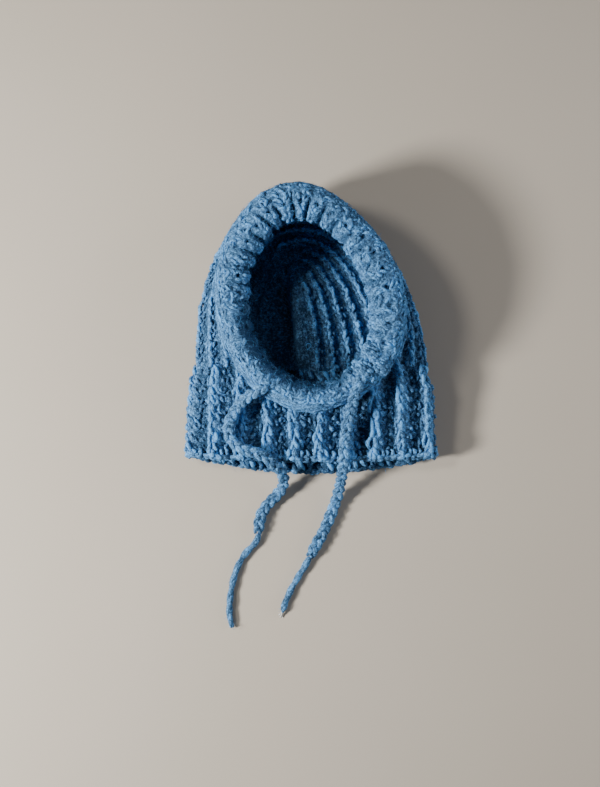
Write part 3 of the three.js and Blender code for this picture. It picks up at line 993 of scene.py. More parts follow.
@dataclass
class Ground:
    """The body of the fabric: a ribbed and lumpy shell that the stitches are sunk in."""

    name: str
    patch: Patch
    u_count: int
    v_count: int
    wall: float
    relief: Callable[[Array, Array], Array]
    lumps: float
    # Heights that the yarn's colour takes for sunk in the fabric and for its crests: lower is
    # painted darker as shade, higher lighter as highlight.
    sunk: float
    crest: float
    hairpin: bool = False
    back_rows: int = 16
    # The lumps' two sizes in millimetres, their patterns, and the finer ones' share.
    lump_sizes: tuple[float, float] = (4.6, 2.4)
    lump_seeds: tuple[int, int] = (5, 6)
    fine_share: float = 0.7
    # How far the yarn's map reaches along the ribs and across them, in millimetres.
    map_size: tuple[float, float] = (160.0, 620.0)
    # The inner face's fixed place on that scale, darker than the crests: painted shade inside.
    inner_painted_shade: float = 0.3
    # Points that are closer than this are one, in metres.
    merge_distance: float = 0.00005

    def rows(self, share: Array) -> tuple[Array, Array]:
        """Lays the grid's rows on the fabric.

        A hairpin shell runs down the inner face, round the hem and up the outer face.

        Args:
            share: each point's share of the grid's length.

        Returns:
            Each point's share up the fabric and its side, 1 outside and -1 inside.
        """
        if not self.hairpin:
            return share, np.ones_like(share)
        row = np.round(share * self.v_count)
        back = row < self.back_rows
        front = (row - self.back_rows) / (self.v_count - self.back_rows)
        ends = (row == 0) | (row == self.back_rows) | (row == self.v_count)
        up = np.where(back, 1 - row / self.back_rows, front)
        return up, np.where(ends, 0.0, np.where(back, -1.0, 1.0))

    def build(self, top: tuple[Array, Array] | None = None) -> bpy.types.Object:
        """Builds the shell from a grid laid on the patch.

        Args:
            top: where the fabric ends early, as shares across and the last v there, or None.

        Returns:
            The shell, at the origin.
        """
        deselect_all()
        bpy.ops.mesh.primitive_grid_add(
            x_subdivisions=self.u_count, y_subdivisions=self.v_count, size=1
        )
        piece = bpy.context.active_object
        piece.name = self.name
        mesh = piece.data
        flat = np.empty(len(mesh.vertices) * 3, dtype=np.float32)
        mesh.vertices.foreach_get("co", flat)
        share = flat.reshape(-1, 3)[:, :2].astype(float) + 0.5
        share_u = share[:, 0]
        share_v, side = self.rows(share[:, 1])
        u0, u1 = self.patch.u_span
        v0, v1 = self.patch.v_span
        u = u0 + (u1 - u0) * share_u
        low = 0.0 if top else v0
        high = np.interp(share_u, *top) if top else v1
        v = low + (high - low) * share_v
        relief = self.relief(u, v)
        middle = self.patch.place(u, v, relief)
        coarse, fine = (grain(middle, *way) for way in zip(self.lump_sizes, self.lump_seeds))
        lumps = coarse + self.fine_share * fine
        outward = side * self.wall / 2 if self.hairpin else 0.0
        height = relief + outward + lumps * self.lumps * np.maximum(side, 0)
        points = self.patch.place(u, v, height)
        spare = 0.0 if self.hairpin else self.wall / 2
        points[:, 2] = np.maximum(points[:, 2], FLOOR_LIFT + spare)
        mesh.vertices.foreach_set("co", row_metres(points).astype(np.float32).ravel())
        yarn = mesh.uv_layers.active
        yarn.name = "yarn"
        loops = np.empty(len(mesh.loops), dtype=np.int32)
        mesh.loops.foreach_get("vertex_index", loops)
        uv = (share[:, ::-1] * self.map_size)[loops]
        yarn.data.foreach_set("uv", uv.astype(np.float32).ravel())
        # Lower ground is painted darker as shade, and its crests lighter as highlight.
        proud = np.clip((relief + lumps - self.sunk) / (self.crest - self.sunk), 0, 1)
        set_attribute(mesh, "tone", np.zeros(len(proud)))
        set_attribute(mesh, "proud", np.where(side < 0, self.inner_painted_shade, proud))
        mesh.polygons.foreach_set("use_smooth", np.ones(len(mesh.polygons), dtype=bool))
        bpy.ops.object.mode_set(mode="EDIT")
        bpy.ops.mesh.select_all(action="SELECT")
        bpy.ops.mesh.remove_doubles(threshold=self.merge_distance)
        bpy.ops.object.mode_set(mode="OBJECT")
        if self.wall > 0 and not self.hairpin:
            solid = piece.modifiers.new("wall", "SOLIDIFY")
            solid.thickness = self.wall * MM
            solid.offset = 0.0
            bpy.ops.object.modifier_apply(modifier=solid.name)
        deselect_all()
        return piece


def finished(
    piece: bpy.types.Object, finish: bpy.types.Material, nodes: list[str]
) -> bpy.types.Object:
    """Dresses a piece, fixes it to the object and hides what it stands for.

    Args:
        piece: the piece.
        finish: its material.
        nodes: the solids that it replaces.

    Returns:
        The same piece.
    """
    piece.data.materials.clear()
    piece.data.materials.append(finish)
    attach(piece, ROOT)
    if nodes:
        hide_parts(*nodes)
    log.info("%s: %d faces", piece.name, len(piece.data.polygons))
    return piece


@dataclass
class Neck:
    """The crocheted neck: nineteen deep ribs that run lengthwise, and the hem's edge stitches."""

    form: NeckForm
    stitch: float = 10.6
    depth: float = 4.1
    crest: float = 0.04
    fall: float = 0.67
    sharpness: float = 1.6
    seed: int = 11
    # The first stitch starts this far from the hem, and the cloth is this long at most.
    first_stitch: float = 3.0
    cloth: float = 112.0
    # How far past the top edge a stitch may end, and how far from the hem it may start.
    past_top: float = 5.0
    past_hem: float = -1.5
    # The same for the inner lining, which has several lines of stitches to a rib.
    lining_first: float = 1.0
    lining_past_top: float = 3.0
    lines_per_rib: int = 3
    edges_per_rib: int = 4
    # How much of the ribs' wave the edge stitches follow, and how far the ground runs past the top.
    edge_share: float = 0.6
    ground_past_top: float = 3.0

    def relief(self, u: Array, v: Array) -> Array:
        """Gives the rib's wave: it falls slowly right of its crest and rises steeply to the next.

        Args:
            u: place across the ribs.
            v: place along the ribs, which makes no difference here.

        Returns:
            Millimetres from the wall's middle.
        """
        t = np.mod(u - self.form.rib_shift - self.crest, 1.0)
        falling = math.pi * t / self.fall
        rising = math.pi * (1 + (t - self.fall) / (1 - self.fall))
        wave = 0.5 + 0.5 * np.cos(np.where(t < self.fall, falling, rising))
        return self.depth * (2 * wave**self.sharpness - 1)

    def strokes(self) -> list[Stroke]:
        """Gives one stitch: the ridge's twisted chain, its flanks and the knot in the valley."""
        return [
            Stroke((-0.10, -0.30, 4.2), (-0.07, 0.40, 6.2), (-0.04, 1.10, 4.8), 2.3),
            Stroke((0.01, 1.00, 5.2), (0.07, 0.50, 6.5), (0.14, -0.02, 4.2), 2.5),
            Stroke((0.13, 0.82, 3.4), (0.21, 0.42, 3.6), (0.29, 0.00, 0.8), 2.3),
            Stroke((0.28, 0.66, 1.2), (0.36, 0.34, 1.6), (0.44, 0.04, -1.4), 2.2),
            Stroke((0.40, 0.20, -1.6), (0.48, 0.48, -0.4), (0.56, 0.84, -2.2), 2.1),
            Stroke((0.53, 0.16, -2.6), (0.61, 0.26, -1.5), (0.70, 0.10, -3.2), 2.1),
            Stroke((0.58, 0.80, -2.8), (0.66, 0.62, -1.8), (0.74, 0.40, -3.4), 2.0),
            Stroke((0.83, 0.00, -1.4), (0.87, 0.50, 0.8), (0.84, 1.00, -1.4), 1.9),
        ]

    def build(self, wool: bpy.types.Material, ground: bpy.types.Material) -> None:
        """Builds the neck's ground and its stitches.

        Args:
            wool: the yarn that stands proud.
            ground: the ground's finish behind it, a darker copy of the wool as painted shade.
        """
        form = self.form
        patch = form.patch()
        share = np.linspace(0, 1, 401)
        hem, top = form.edges(share)
        reach = top - hem
        shell = Ground(
            "neck_ground",
            patch,
            u_count=form.ribs * 22,
            v_count=86,
            wall=3.0,
            relief=self.relief,
            lumps=0.8,
            sunk=-4.0,
            crest=4.0,
            hairpin=True,
        )
        finished(shell.build((share, reach + self.ground_past_top)), ground, [])
        rng = np.random.default_rng(self.seed)
        ribs = np.arange(form.ribs) + form.rib_shift
        rows = int(round(self.cloth / self.stitch)) + 1
        rib, row = np.meshgrid(ribs, np.arange(rows), indexing="ij")
        start = rng.uniform(-0.5, 0.5, form.ribs)[:, None] * self.stitch
        v = row * self.stitch + start + self.first_stitch
        cells = np.full(rib.size, self.stitch)
        strands = stitch_strands(self.strokes(), rib.ravel(), v.ravel(), cells, rng, loose=0.1)
        limit = np.interp(np.mod(strands.knots[:, 1, 0] / form.ribs, 1), share, reach)
        ends = strands.knots[..., 1]
        keep = (ends.max(axis=1) < limit + self.past_top) & (ends.min(axis=1) > self.past_hem)
        cut = YarnCut(rings=7, sides=6)
        tubes = strand_tubes(patch, strands.kept(keep), cut, low=-4.0, high=6.2)
        finished(tube_object("neck_stitches", tubes, 1), wool, ["neck"])
        lines = form.ribs * self.lines_per_rib
        inner_u = np.repeat(np.arange(lines) / self.lines_per_rib + form.rib_shift, rows)
        inner_v = np.tile(np.arange(rows) * self.stitch, lines) + self.lining_first
        lining = [Stroke((-0.10, 0.0, 2.6), (0.02, 0.5, 3.8), (0.12, 1.0, 2.6), 3.0)]
        cells = np.full(len(inner_u), self.stitch)
        inner = stitch_strands(lining, inner_u, inner_v, cells, rng, loose=0.08)
        inner.knots[..., 2] -= self.relief(inner.knots[..., 0], inner.knots[..., 1])
        limit = np.interp(np.mod(inner.knots[:, 1, 0] / form.ribs, 1), share, reach)
        keep = inner.knots[..., 1].max(axis=1) < limit + self.lining_past_top
        cut = YarnCut(rings=5, sides=5)
        tubes = strand_tubes(patch.turned(), inner.kept(keep), cut, low=-1.0, high=7.0)
        finished(tube_object("neck_lining", tubes, 2), wool, [])
        self.hem(patch, wool, rng)

    def hem(self, patch: Patch, wool: bpy.types.Material, rng: np.random.Generator) -> None:
        """Builds the edge stitches round the hem.

        Args:
            patch: the neck's surface.
            wool: the yarn that stands proud.
            rng: the maker's hand.
        """
        count = self.form.ribs * self.edges_per_rib
        u = np.arange(count) / self.edges_per_rib + self.form.rib_shift
        strokes = [
            Stroke((-0.16, 0.30, 2.6), (0.0, 0.02, 4.0), (0.16, 0.30, 2.6), 2.7),
            Stroke((-0.15, -0.05, 0.6), (0.0, -0.22, 1.8), (0.15, -0.05, 0.6), 2.7),
            Stroke((-0.15, -0.05, -1.8), (0.0, -0.20, -2.2), (0.15, -0.05, -1.8), 2.6),
            Stroke((-0.02, 0.80, 3.6), (0.06, 0.45, 4.6), (0.02, -0.10, 1.8), 2.4),
        ]
        cells = np.full(count, self.stitch)
        v = np.full(count, self.first_stitch)
        edge = stitch_strands(strokes, u, v, cells, rng, loose=0.06)
        wave = self.relief(edge.knots[..., 0], edge.knots[..., 1])
        edge.knots[..., 2] += wave * self.edge_share
        tubes = strand_tubes(patch, edge, YarnCut(rings=6, sides=5), low=-3.0, high=5.0)
        finished(tube_object("neck_hem", tubes, 3), wool, [])


@dataclass
class Hood:
    """The crocheted hood: ribs as nested arches, with stitches on both faces."""

    form: HoodForm
    stitch: float = 10.0
    depth: float = 2.2
    seed: int = 23
    surface: Patch | None = None
    bare_share: float = 0.8
    # The plain stretch fades out this far right of the fold's edge, and past the fold's far end.
    bare_right: tuple[float, float] = (16.0, 22.0)
    bare_far: tuple[float, float] = (45.0, 65.0)
    # The fewest stitches on a rib, and the shortest stitch as a share of its rib.
    fewest: int = 4
    shortest: float = 0.004
    # How far a stitch may run out past the ends of its rib, as a share of the rib.
    past_end: float = 0.005
    # How many ribs the band covers, and how many a stitch may run on past the seam.
    under_band: float = 1.0
    past_seam: float = 0.3
    # The lining has no stitches where the inside is plainer than this.
    bare_limit: float = 0.5

    def relief(self, u: Array, v: Array) -> Array:
        """Gives the rib's wave: ridges outside at whole ribs, and inside between them.

        Args:
            u: place across the ribs.
            v: place along the ribs.

        Returns:
            Millimetres from the wall's middle.
        """
        wave = self.depth * np.cos(2 * math.pi * u)
        if self.surface is None:
            self.surface = self.form.patch()
        bare = self.bare(self.surface.place(u, v, np.zeros_like(u)))
        return wave * (1 - self.bare_share * bare)

    def cells(self, patch: Patch, shift: float, rng: np.random.Generator) -> tuple[Array, ...]:
        """Lays out the stitches along each rib.

        Args:
            patch: the hood's surface.
            shift: where the ridges are, in ribs.
            rng: the maker's hand.

        Returns:
            u, v and length of every stitch, the last as a share of its rib.
        """
        us, vs, steps = [], [], []
        v = np.linspace(0, 1, 200)
        for rib in range(self.form.ribs + 1):
            u = rib + shift
            if not 0.0 <= u <= self.form.ribs:
                continue
            length = along_line(patch.place(np.full_like(v, u), v, np.zeros_like(v)))
            count = max(int(round(length[-1] / self.stitch)), self.fewest)
            at = (np.arange(count) + rng.uniform(0, 0.4)) / count * length[-1]
            starts = np.interp(at, length, v)
            ends = np.interp(at + length[-1] / count, length, v, right=1.0)
            us.append(np.full(count, u))
            vs.append(starts)
            steps.append(np.maximum(ends - starts, self.shortest))
        return np.concatenate(us), np.concatenate(vs), np.concatenate(steps)

    def strokes(self) -> list[Stroke]:
        """Gives one stitch: the twisted chain that stands on its ridge."""
        return [
            Stroke((-0.11, -0.10, 3.8), (0.00, 0.45, 5.4), (0.10, 1.05, 3.8), 2.7),
            Stroke((0.11, -0.40, 3.6), (0.03, 0.15, 5.1), (-0.10, 0.70, 3.6), 2.4),
            Stroke((0.14, 0.60, 3.2), (0.22, 0.25, 3.4), (0.30, -0.10, 1.4), 2.1),
            Stroke((-0.16, 0.20, 3.0), (-0.24, 0.55, 3.2), (-0.31, 0.90, 1.2), 2.0),
        ]

    def bare(self, points: Array) -> Array:
        """Says how plain the inside is: left of the fold's edge, and just right of it.

        Args:
            points: places on the hood, in the maker's frame.

        Returns:
            1 where it is plain and 0 where it has its full ribs.
        """
        x, y = points[..., 0], points[..., 1]
        edge = self.form.fold_edge(y)
        left = 1 - ramp(edge + self.bare_right[0], edge + self.bare_right[1], x)
        far_y = self.form.fold_far_y
        return left * (1 - ramp(far_y + self.bare_far[0], far_y + self.bare_far[1], y))

    def build(self, wool: bpy.types.Material, ground: bpy.types.Material) -> None:
        """Builds the hood's ground and the stitches on both of its faces.

        Args:
            wool: the yarn that stands proud.
            ground: the ground's finish behind it, a darker copy of the wool as painted shade.
        """
        form = self.form
        patch = form.patch()
        shell = Ground(
            "hood_ground",
            patch,
            u_count=form.ribs * 12,
            v_count=190,
            wall=4.0,
            relief=self.relief,
            lumps=0.8,
            sunk=-2.4,
            crest=3.2,
        )
        finished(shell.build(), ground, [])
        rng = np.random.default_rng(self.seed)
        for name, side, shift, nodes, seed in (
            ("hood_stitches", patch, 0.0, ["hood"], 4),
            ("hood_lining", patch.turned(), 0.5, [], 5),
        ):
            u, v, step = self.cells(patch, shift, rng)
            strands = stitch_strands(self.strokes(), u, v, step, rng, loose=0.07)
            across, along = strands.knots[..., 0], strands.knots[..., 1]
            keep = along.min(axis=1) > -self.past_end
            keep &= along.max(axis=1) < 1 + self.past_end
            keep &= across.min(axis=1) > self.under_band
            keep &= across.max(axis=1) < form.ribs + self.past_seam
            if not nodes:
                keep &= self.bare(side.place(*strands.knots[:, 1].T)) < self.bare_limit
            cut = YarnCut(rings=6, sides=5)
            tubes = strand_tubes(side, strands.kept(keep), cut, low=0.0, high=6.2)
            finished(tube_object(name, tubes, seed), wool, nodes)


@dataclass
class FaceBand:
    """The rolled band: thirty ribs that run over the roll, brushed soft."""

    form: BandForm
    lobe: float = 6.4
    seed: int = 37
    # A rib's width and the way round the roll, in millimetres, which the yarn's lengths go by.
    rib_width: float = 19.0
    girth: float = 113.0
    lengths_per_rib: int = 34
    # The turn where these lengths start and the turns that they cover, their reach and radius.
    covered_turns: tuple[float, float] = (0.08, 0.54)
    length_reach: tuple[float, float] = (7.5, 12.0)
    length_radius: tuple[float, float] = (1.5, 2.3)
    # How far their ends dip into the cloth, and how deep a groove they may cross.
    end_dip: float = 2.3
    deepest: float = -3.0
    # The turns that the outer strands follow, and the step from one to the next, in ribs.
    outer_turns: tuple[float, ...] = (-0.09, -0.06, -0.02, 0.02, 0.06, 0.10, 0.14)
    outer_step: float = 0.6
    # Their reach in ribs, their radius and how far their ends dip, in millimetres.
    outer_reach: tuple[float, float] = (0.7, 1.1)
    outer_radius: tuple[float, float] = (1.3, 1.9)
    outer_dip: float = 1.5
    # Stretches of the ring in ribs: two where the lobes are plain, and one where the roll slopes.
    plain_right: tuple[float, float, float, float] = (17.0, 19.5, 25.5, 28.0)
    plain_chin: tuple[float, float, float, float] = (9.0, 11.0, 16.0, 18.0)
    slope_chin: tuple[float, float, float, float] = (6.5, 10.0, 15.5, 18.0)
    # Stretches of the roll in turns: where the grooves are deep, and where the slope lies.
    groove_turns: tuple[float, float, float, float] = (0.20, 0.38, 0.66, 0.84)
    slope_turns: tuple[float, float, float, float] = (0.17, 0.34, 0.50, 0.62)
    # Depths in millimetres, and how plain a stretch is before it has a second row of holes.
    slope_depth: float = 8.0
    hole_depth: float = 5.5
    second_depth: float = 4.5
    plain_limit: float = 0.4
    # Where the underside's stitches start, and their length, in turns.
    under_start: float = 0.62
    under_stitch: float = 0.075
    under_rows: int = 4

    def plain(self, u: Array) -> Array:
        """Says how plain the band is: it hardly shows its lobes on the right, less at the chin.

        Args:
            u: place round the ring, in ribs.

        Returns:
            0 where the lobes are full, and up to 1 where there are none.
        """
        place = np.mod(u, self.form.ribs)
        return 0.62 * stretch(self.plain_right, place) + 0.3 * stretch(self.plain_chin, place)

    def relief(self, u: Array, v: Array) -> Array:
        """Gives round lobes that are parted by grooves at the opening, each with a hole.

        Args:
            u: place round the ring, in ribs.
            v: the turn round the roll.

        Returns:
            Millimetres from the roll's plain surface.
        """
        x = np.mod(u + 0.5, 1.0) - 0.5
        turn = np.mod(v, 1.0)
        near = stretch(self.groove_turns, turn)
        plain = self.plain(u)
        groove = self.lobe * (0.08 + near * (1 - plain)) * np.abs(2 * x) ** 3.6
        smoother = plain > self.plain_limit
        at = np.where(smoother, 0.25, 0.31)
        hole = self.hole_depth * np.exp(-((x / 0.11) ** 2) - ((turn - at) / 0.022) ** 2)
        beside = -(((np.abs(x) - 0.5) / 0.1) ** 2) - ((turn - 0.35) / 0.018) ** 2
        second = self.second_depth * np.exp(beside)
        chin = stretch(self.slope_chin, np.mod(u, self.form.ribs))
        slope = self.slope_depth * stretch(self.slope_turns, turn) * chin
        return 0.3 - groove - hole - second * smoother - slope

    def radial(self, rng: np.random.Generator) -> Strands:
        """Gives the short lengths of yarn that lie over the roll, sunk in its brushed surface.

        Args:
            rng: the maker's hand.

        Returns:
            The strands.
        """
        ribs, per_rib = self.form.ribs, self.lengths_per_rib
        count = ribs * per_rib
        u = np.repeat(np.arange(ribs), per_rib) + rng.uniform(-0.46, 0.46, count)
        first, covered = self.covered_turns
        row = np.tile(np.arange(per_rib), ribs) + rng.uniform(0, 1, count)
        v = first + covered * row / per_rib
        reach = rng.uniform(*self.length_reach, count)[:, None]
        x = np.mod(u + 0.5, 1.0) - 0.5
        # They run over the roll, and from its top inward they lean to the rib's middle.
        angle = rng.normal(0, 1.0, count) * np.where(v > 0.22, 0.5, 0.8)
        angle = (angle - 0.5 * np.sign(x) * (v > 0.2))[:, None]
        t = np.array([-0.5, 0.0, 0.5])
        bend = rng.normal(0, 0.12, (count, 3))
        us = u[:, None] + (reach * np.sin(angle) * t + bend * 6) / self.rib_width
        vs = v[:, None] + reach * np.cos(angle) * t / self.girth
        height = self.relief(us, vs) + 0.5 + rng.normal(0, 0.4, (count, 1))
        height = height - self.end_dip * np.abs(2 * t)[None]
        radius = rng.uniform(*self.length_radius, count)
        strands = Strands(np.stack([us, vs, height], -1), radius, rng.normal(0, 1, count))
        share = np.linspace(0.2, 0.8, 7)[None]
        across = us[:, :1] + (us[:, 2:] - us[:, :1]) * share
        along = vs[:, :1] + (vs[:, 2:] - vs[:, :1]) * share
        return strands.kept(self.relief(across, along).min(axis=1) > self.deepest)

    def parallel(self, rng: np.random.Generator) -> Strands:
        """Gives the longer strands outside, which run along the outline.

        Args:
            rng: the maker's hand.

        Returns:
            The strands.
        """
        batches = []
        t = np.array([-0.5, 0.0, 0.5])
        for v in self.outer_turns:
            u = np.arange(0, self.form.ribs, self.outer_step)
            count = len(u)
            u = u + rng.uniform(-0.25, 0.25, count)
            at = u[:, None] + rng.uniform(*self.outer_reach, count)[:, None] * t
            slant = rng.normal(0, 0.035, (count, 1)) * t
            turn = v + slant + rng.normal(0, 0.012, (count, 1)) + rng.normal(0, 0.008, (count, 3))
            height = self.relief(at, turn) + 0.3 + rng.normal(0, 0.35, (count, 3))
            height[:, ::2] -= self.outer_dip
            knots = np.stack([at, turn, height], axis=-1)
            radius = rng.uniform(*self.outer_radius, count)
            batches.append(Strands(knots, radius, rng.normal(0, 1, count)))
        return Strands.joined(batches)

    def under(self, rng: np.random.Generator) -> Strands:
        """Gives the coarser strands of the roll's underside.

        Args:
            rng: the maker's hand.

        Returns:
            The strands.
        """
        ribs = np.arange(self.form.ribs, dtype=float)
        rib, row = np.meshgrid(ribs, np.arange(self.under_rows), indexing="ij")
        strokes = [
            Stroke((x, 0.0, -2.2), (x * 0.8, 0.6, -0.8), (x * 0.9, 1.2, -2.2), 2.3)
            for x in (-0.32, 0.0, 0.32)
        ]
        v = self.under_start + row.ravel() * self.under_stitch
        step = np.full(rib.size, self.under_stitch)
        return stitch_strands(strokes, rib.ravel(), v, step, rng, loose=0.07)

    def build(self, wool: bpy.types.Material, ground: bpy.types.Material) -> None:
        """Builds the band's core and its stitches.

        Args:
            wool: the yarn that stands proud.
            ground: the core's finish behind it, a darker copy of the wool as painted shade.
        """
        patch = self.form.patch()
        core = Ground(
            "band_core",
            patch,
            u_count=self.form.ribs * 16,
            v_count=92,
            wall=0.0,
            relief=self.relief,
            lumps=0.5,
            sunk=-4.5,
            crest=1.6,
        )
        finished(core.build(), ground, [])
        rng = np.random.default_rng(self.seed)
        strands = Strands.joined([self.radial(rng), self.parallel(rng), self.under(rng)])
        cut = YarnCut(rings=5, sides=5, end_share=0.4)
        tubes = strand_tubes(patch, strands, cut, low=-5.5, high=0.8)
        finished(tube_object("band_stitches", tubes, 6), wool, ["face_band"])


class CordEnd(Enum):
    """What a cord ends in."""

    KNOT = "knot"
    BARE = "bare"


@dataclass
class Cord:
    """A free length of the drawstring: strands that follow one line, crossing or twisting."""

    name: str
    node: str
    route: Array
    diameter: float
    strands: int
    strand_radius: float
    sway: float
    rise: float
    pitch: float
    end: CordEnd
    # Steps of the fine line from point to point of the route, then millimetres of the even one.
    fine_steps: int = 24
    step: float = 1.5
    # The strands' girth at the far end and at the near one, as shares of the full.
    far_taper: float = 0.55
    near_taper: float = 0.6
    # The far end's taper is this many of the strands' radii long.
    taper_radii: float = 2.5
    # How far the girth goes up and down, and over what length in millimetres.
    wobble: float = 0.07
    wobble_length: float = 5.3
    sides: int = 8
    flatness: float = 0.95
    # Its fixed place on the material's scale of painted shade and highlight, from sunk (0) to crest
    # (1).
    proud: float = 0.75

    def line(self) -> Array:
        """Gives the cord's middle.

        Returns:
            A smooth line through the route's points, in even steps.
        """
        before, after = 2 * self.route[0] - self.route[1], 2 * self.route[-1] - self.route[-2]
        points = np.vstack([before, self.route, after])
        pieces = []
        for i in range(1, len(points) - 2):
            p = points[i - 1 : i + 3]
            gaps = np.sqrt(np.linalg.norm(np.diff(p, axis=0), axis=1))
            t = np.concatenate([[0.0], np.cumsum(gaps)])
            x = np.linspace(t[1], t[2], self.fine_steps, endpoint=False)[:, None]
            a = [
                (t[k + 1] - x) / gaps[k] * p[k] + (x - t[k]) / gaps[k] * p[k + 1]
                for k in range(3)
            ]
            b = [
                (t[k + 2] - x) / (t[k + 2] - t[k]) * a[k]
                + (x - t[k]) / (t[k + 2] - t[k]) * a[k + 1]
                for k in range(2)
            ]
            pieces.append((t[2] - x) / (t[2] - t[1]) * b[0] + (x - t[1]) / (t[2] - t[1]) * b[1])
        fine = np.vstack([*pieces, self.route[-1:]])
        length = along_line(fine)
        at = np.linspace(0, length[-1], int(length[-1] / self.step) + 1)
        return np.stack([np.interp(at, length, fine[:, k]) for k in range(3)], axis=1)

    def build(self, wool: bpy.types.Material, seed: int) -> bpy.types.Object:
        """Args:
            wool: its yarn.
            seed: where its strands start on the yarn's map.

        Returns:
            The cord.
        """
        line = self.line()
        length = along_line(line)
        ahead = unit(np.gradient(line, axis=0))
        side = unit(np.cross(ahead, np.array([0.0, 0.0, 1.0])))
        up = np.cross(side, ahead)
        paths = []
        for k in range(self.strands):
            phase = 2 * math.pi * (length / self.pitch + k / self.strands)
            lateral = self.sway * np.sin(phase)
            # A cord is plaited down to its knot, and a plain yarn is only twisted.
            plaited = self.end is CordEnd.KNOT
            raised = self.rise * (np.sin(2 * phase) if plaited else np.cos(phase))
            paths.append(line + side * lateral[:, None] + up * raised[:, None])
        lines = np.stack(paths)
        taper_start = length[-1] - self.taper_radii * self.strand_radius
        ends = 1 - ramp(taper_start, length[-1], length)
        taper = self.far_taper + (1 - self.far_taper) * ends
        taper[0] = self.near_taper
        rng = np.random.default_rng(seed)
        start = rng.uniform(0, 6, (self.strands, 1))
        wobble = 1 + self.wobble * np.sin(length / self.wobble_length + start)
        radius = self.strand_radius * taper[None] * wobble
        proud = np.full((self.strands, len(line)), self.proud)
        tone = rng.normal(0, 0.8, self.strands)
        ups = np.broadcast_to(up, lines.shape)
        tubes = tubes_from_lines(lines, ups, radius, self.flatness, self.sides, tone, proud)
        piece = finished(tube_object(self.name, tubes, seed), wool, [self.node])
        return piece


@dataclass
class Fuzz:
    """Loose fibres on the brushed yarn: most lie along it, and some stand off."""

    name: str
    slot: str
    seed: int
    reach: tuple[float, float] = (3.5, 8.0)
    radius: tuple[float, float] = (0.12, 0.26)
    lift: tuple[float, float] = (-0.05, 0.3)
    # Fibres that start lower than this would lie in the floor.
    lowest: float = 2.0
    # Roots on a cord are this share of its diameter from its middle.
    root_share: float = 0.42
    root_seed: int = 500
    # How far a fibre bows to a side, as a share of its reach, and how much thinner its tip is.
    bow: float = 0.6
    thinning: float = 0.6
    # Their fixed place on the material's scale of painted shade and highlight, from sunk (0) to
    # crest (1).
    proud: float = 0.9

    def build(self, roots: Array, normals: Array, hair: bpy.types.Material) -> None:
        """Builds the fibres as very thin bent tubes.

        Args:
            roots: where they start, in the maker's frame.
            normals: the way out of the yarn at each.
            hair: the fibres' finish.
        """
        rng = np.random.default_rng(self.seed)
        keep = roots[:, 2] > self.lowest
        roots, normals = roots[keep], normals[keep]
        count = len(roots)
        drift = rng.normal(0, 1, (count, 3))
        drift = unit(drift - normals * np.sum(drift * normals, axis=1, keepdims=True))
        curl = unit(np.cross(normals, drift) + rng.normal(0, 0.5, (count, 3)))
        reach = rng.uniform(*self.reach, count)[:, None]
        lift = rng.uniform(0, 1, count)[:, None] ** 3
        lean = unit(drift + normals * (self.lift[0] + (self.lift[1] - self.lift[0]) * lift))
        t = np.linspace(0, 1, 3)[None, :, None]
        lines = roots[:, None] + lean[:, None] * reach[:, None] * t
        bow = rng.uniform(-self.bow, self.bow, count)[:, None, None]
        lines = lines + curl[:, None] * reach[:, None] * bow * t**2
        up = np.broadcast_to(unit(np.cross(lean, curl))[:, None], lines.shape)
        radius = rng.uniform(*self.radius, count)[:, None] * (1 - self.thinning * t[..., 0])
        proud = np.full((count, 3), self.proud)
        tone = rng.normal(0, 1, count)
        tubes = tubes_from_lines(lines, up, radius, 1.0, 3, tone, proud)
        finished(tube_object(self.name, tubes, self.seed), hair, [])

    def over(
        self,
        patch: Patch,
        count: int,
        height: tuple[float, float],
        v_span: tuple[float, float],
        hair: bpy.types.Material,
        relief: Callable[[Array, Array], Array] | None = None,
    ) -> None:
        """Spreads the fibres over a patch.

        Args:
            patch: the fabric's surface.
            count: how many there are.
            height: the heights that they start from, in millimetres.
            v_span: the stretch along the ribs that they cover.
            hair: the fibres' finish.
            relief: the ribs' wave, where the heights count from it.
        """
        rng = np.random.default_rng(self.seed + self.root_seed)
        u = rng.uniform(*patch.u_span, count)
        v = rng.uniform(*v_span, count)
        base = relief(u, v) if relief else 0.0
        roots = patch.place(u, v, base + rng.uniform(*height, count))
        self.build(roots, patch.normal(u, v), hair)

    def along(self, cords: list[Cord], step: float, hair: bpy.types.Material) -> None:
        """Spreads the fibres along the cords.

        Args:
            cords: the cords.
            step: millimetres of cord to a fibre.
            hair: the fibres' finish.
        """
        rng = np.random.default_rng(self.seed + self.root_seed)
        roots, normals = [], []
        for cord in cords:
            line = cord.line()
            count = int(along_line(line)[-1] / step)
            middle = line[rng.integers(0, len(line), count)]
            out = unit(rng.normal(0, 1, (count, 3)))
            roots.append(middle + out * cord.diameter * self.root_share)
            normals.append(out)
        self.build(np.concatenate(roots), np.concatenate(normals), hair)


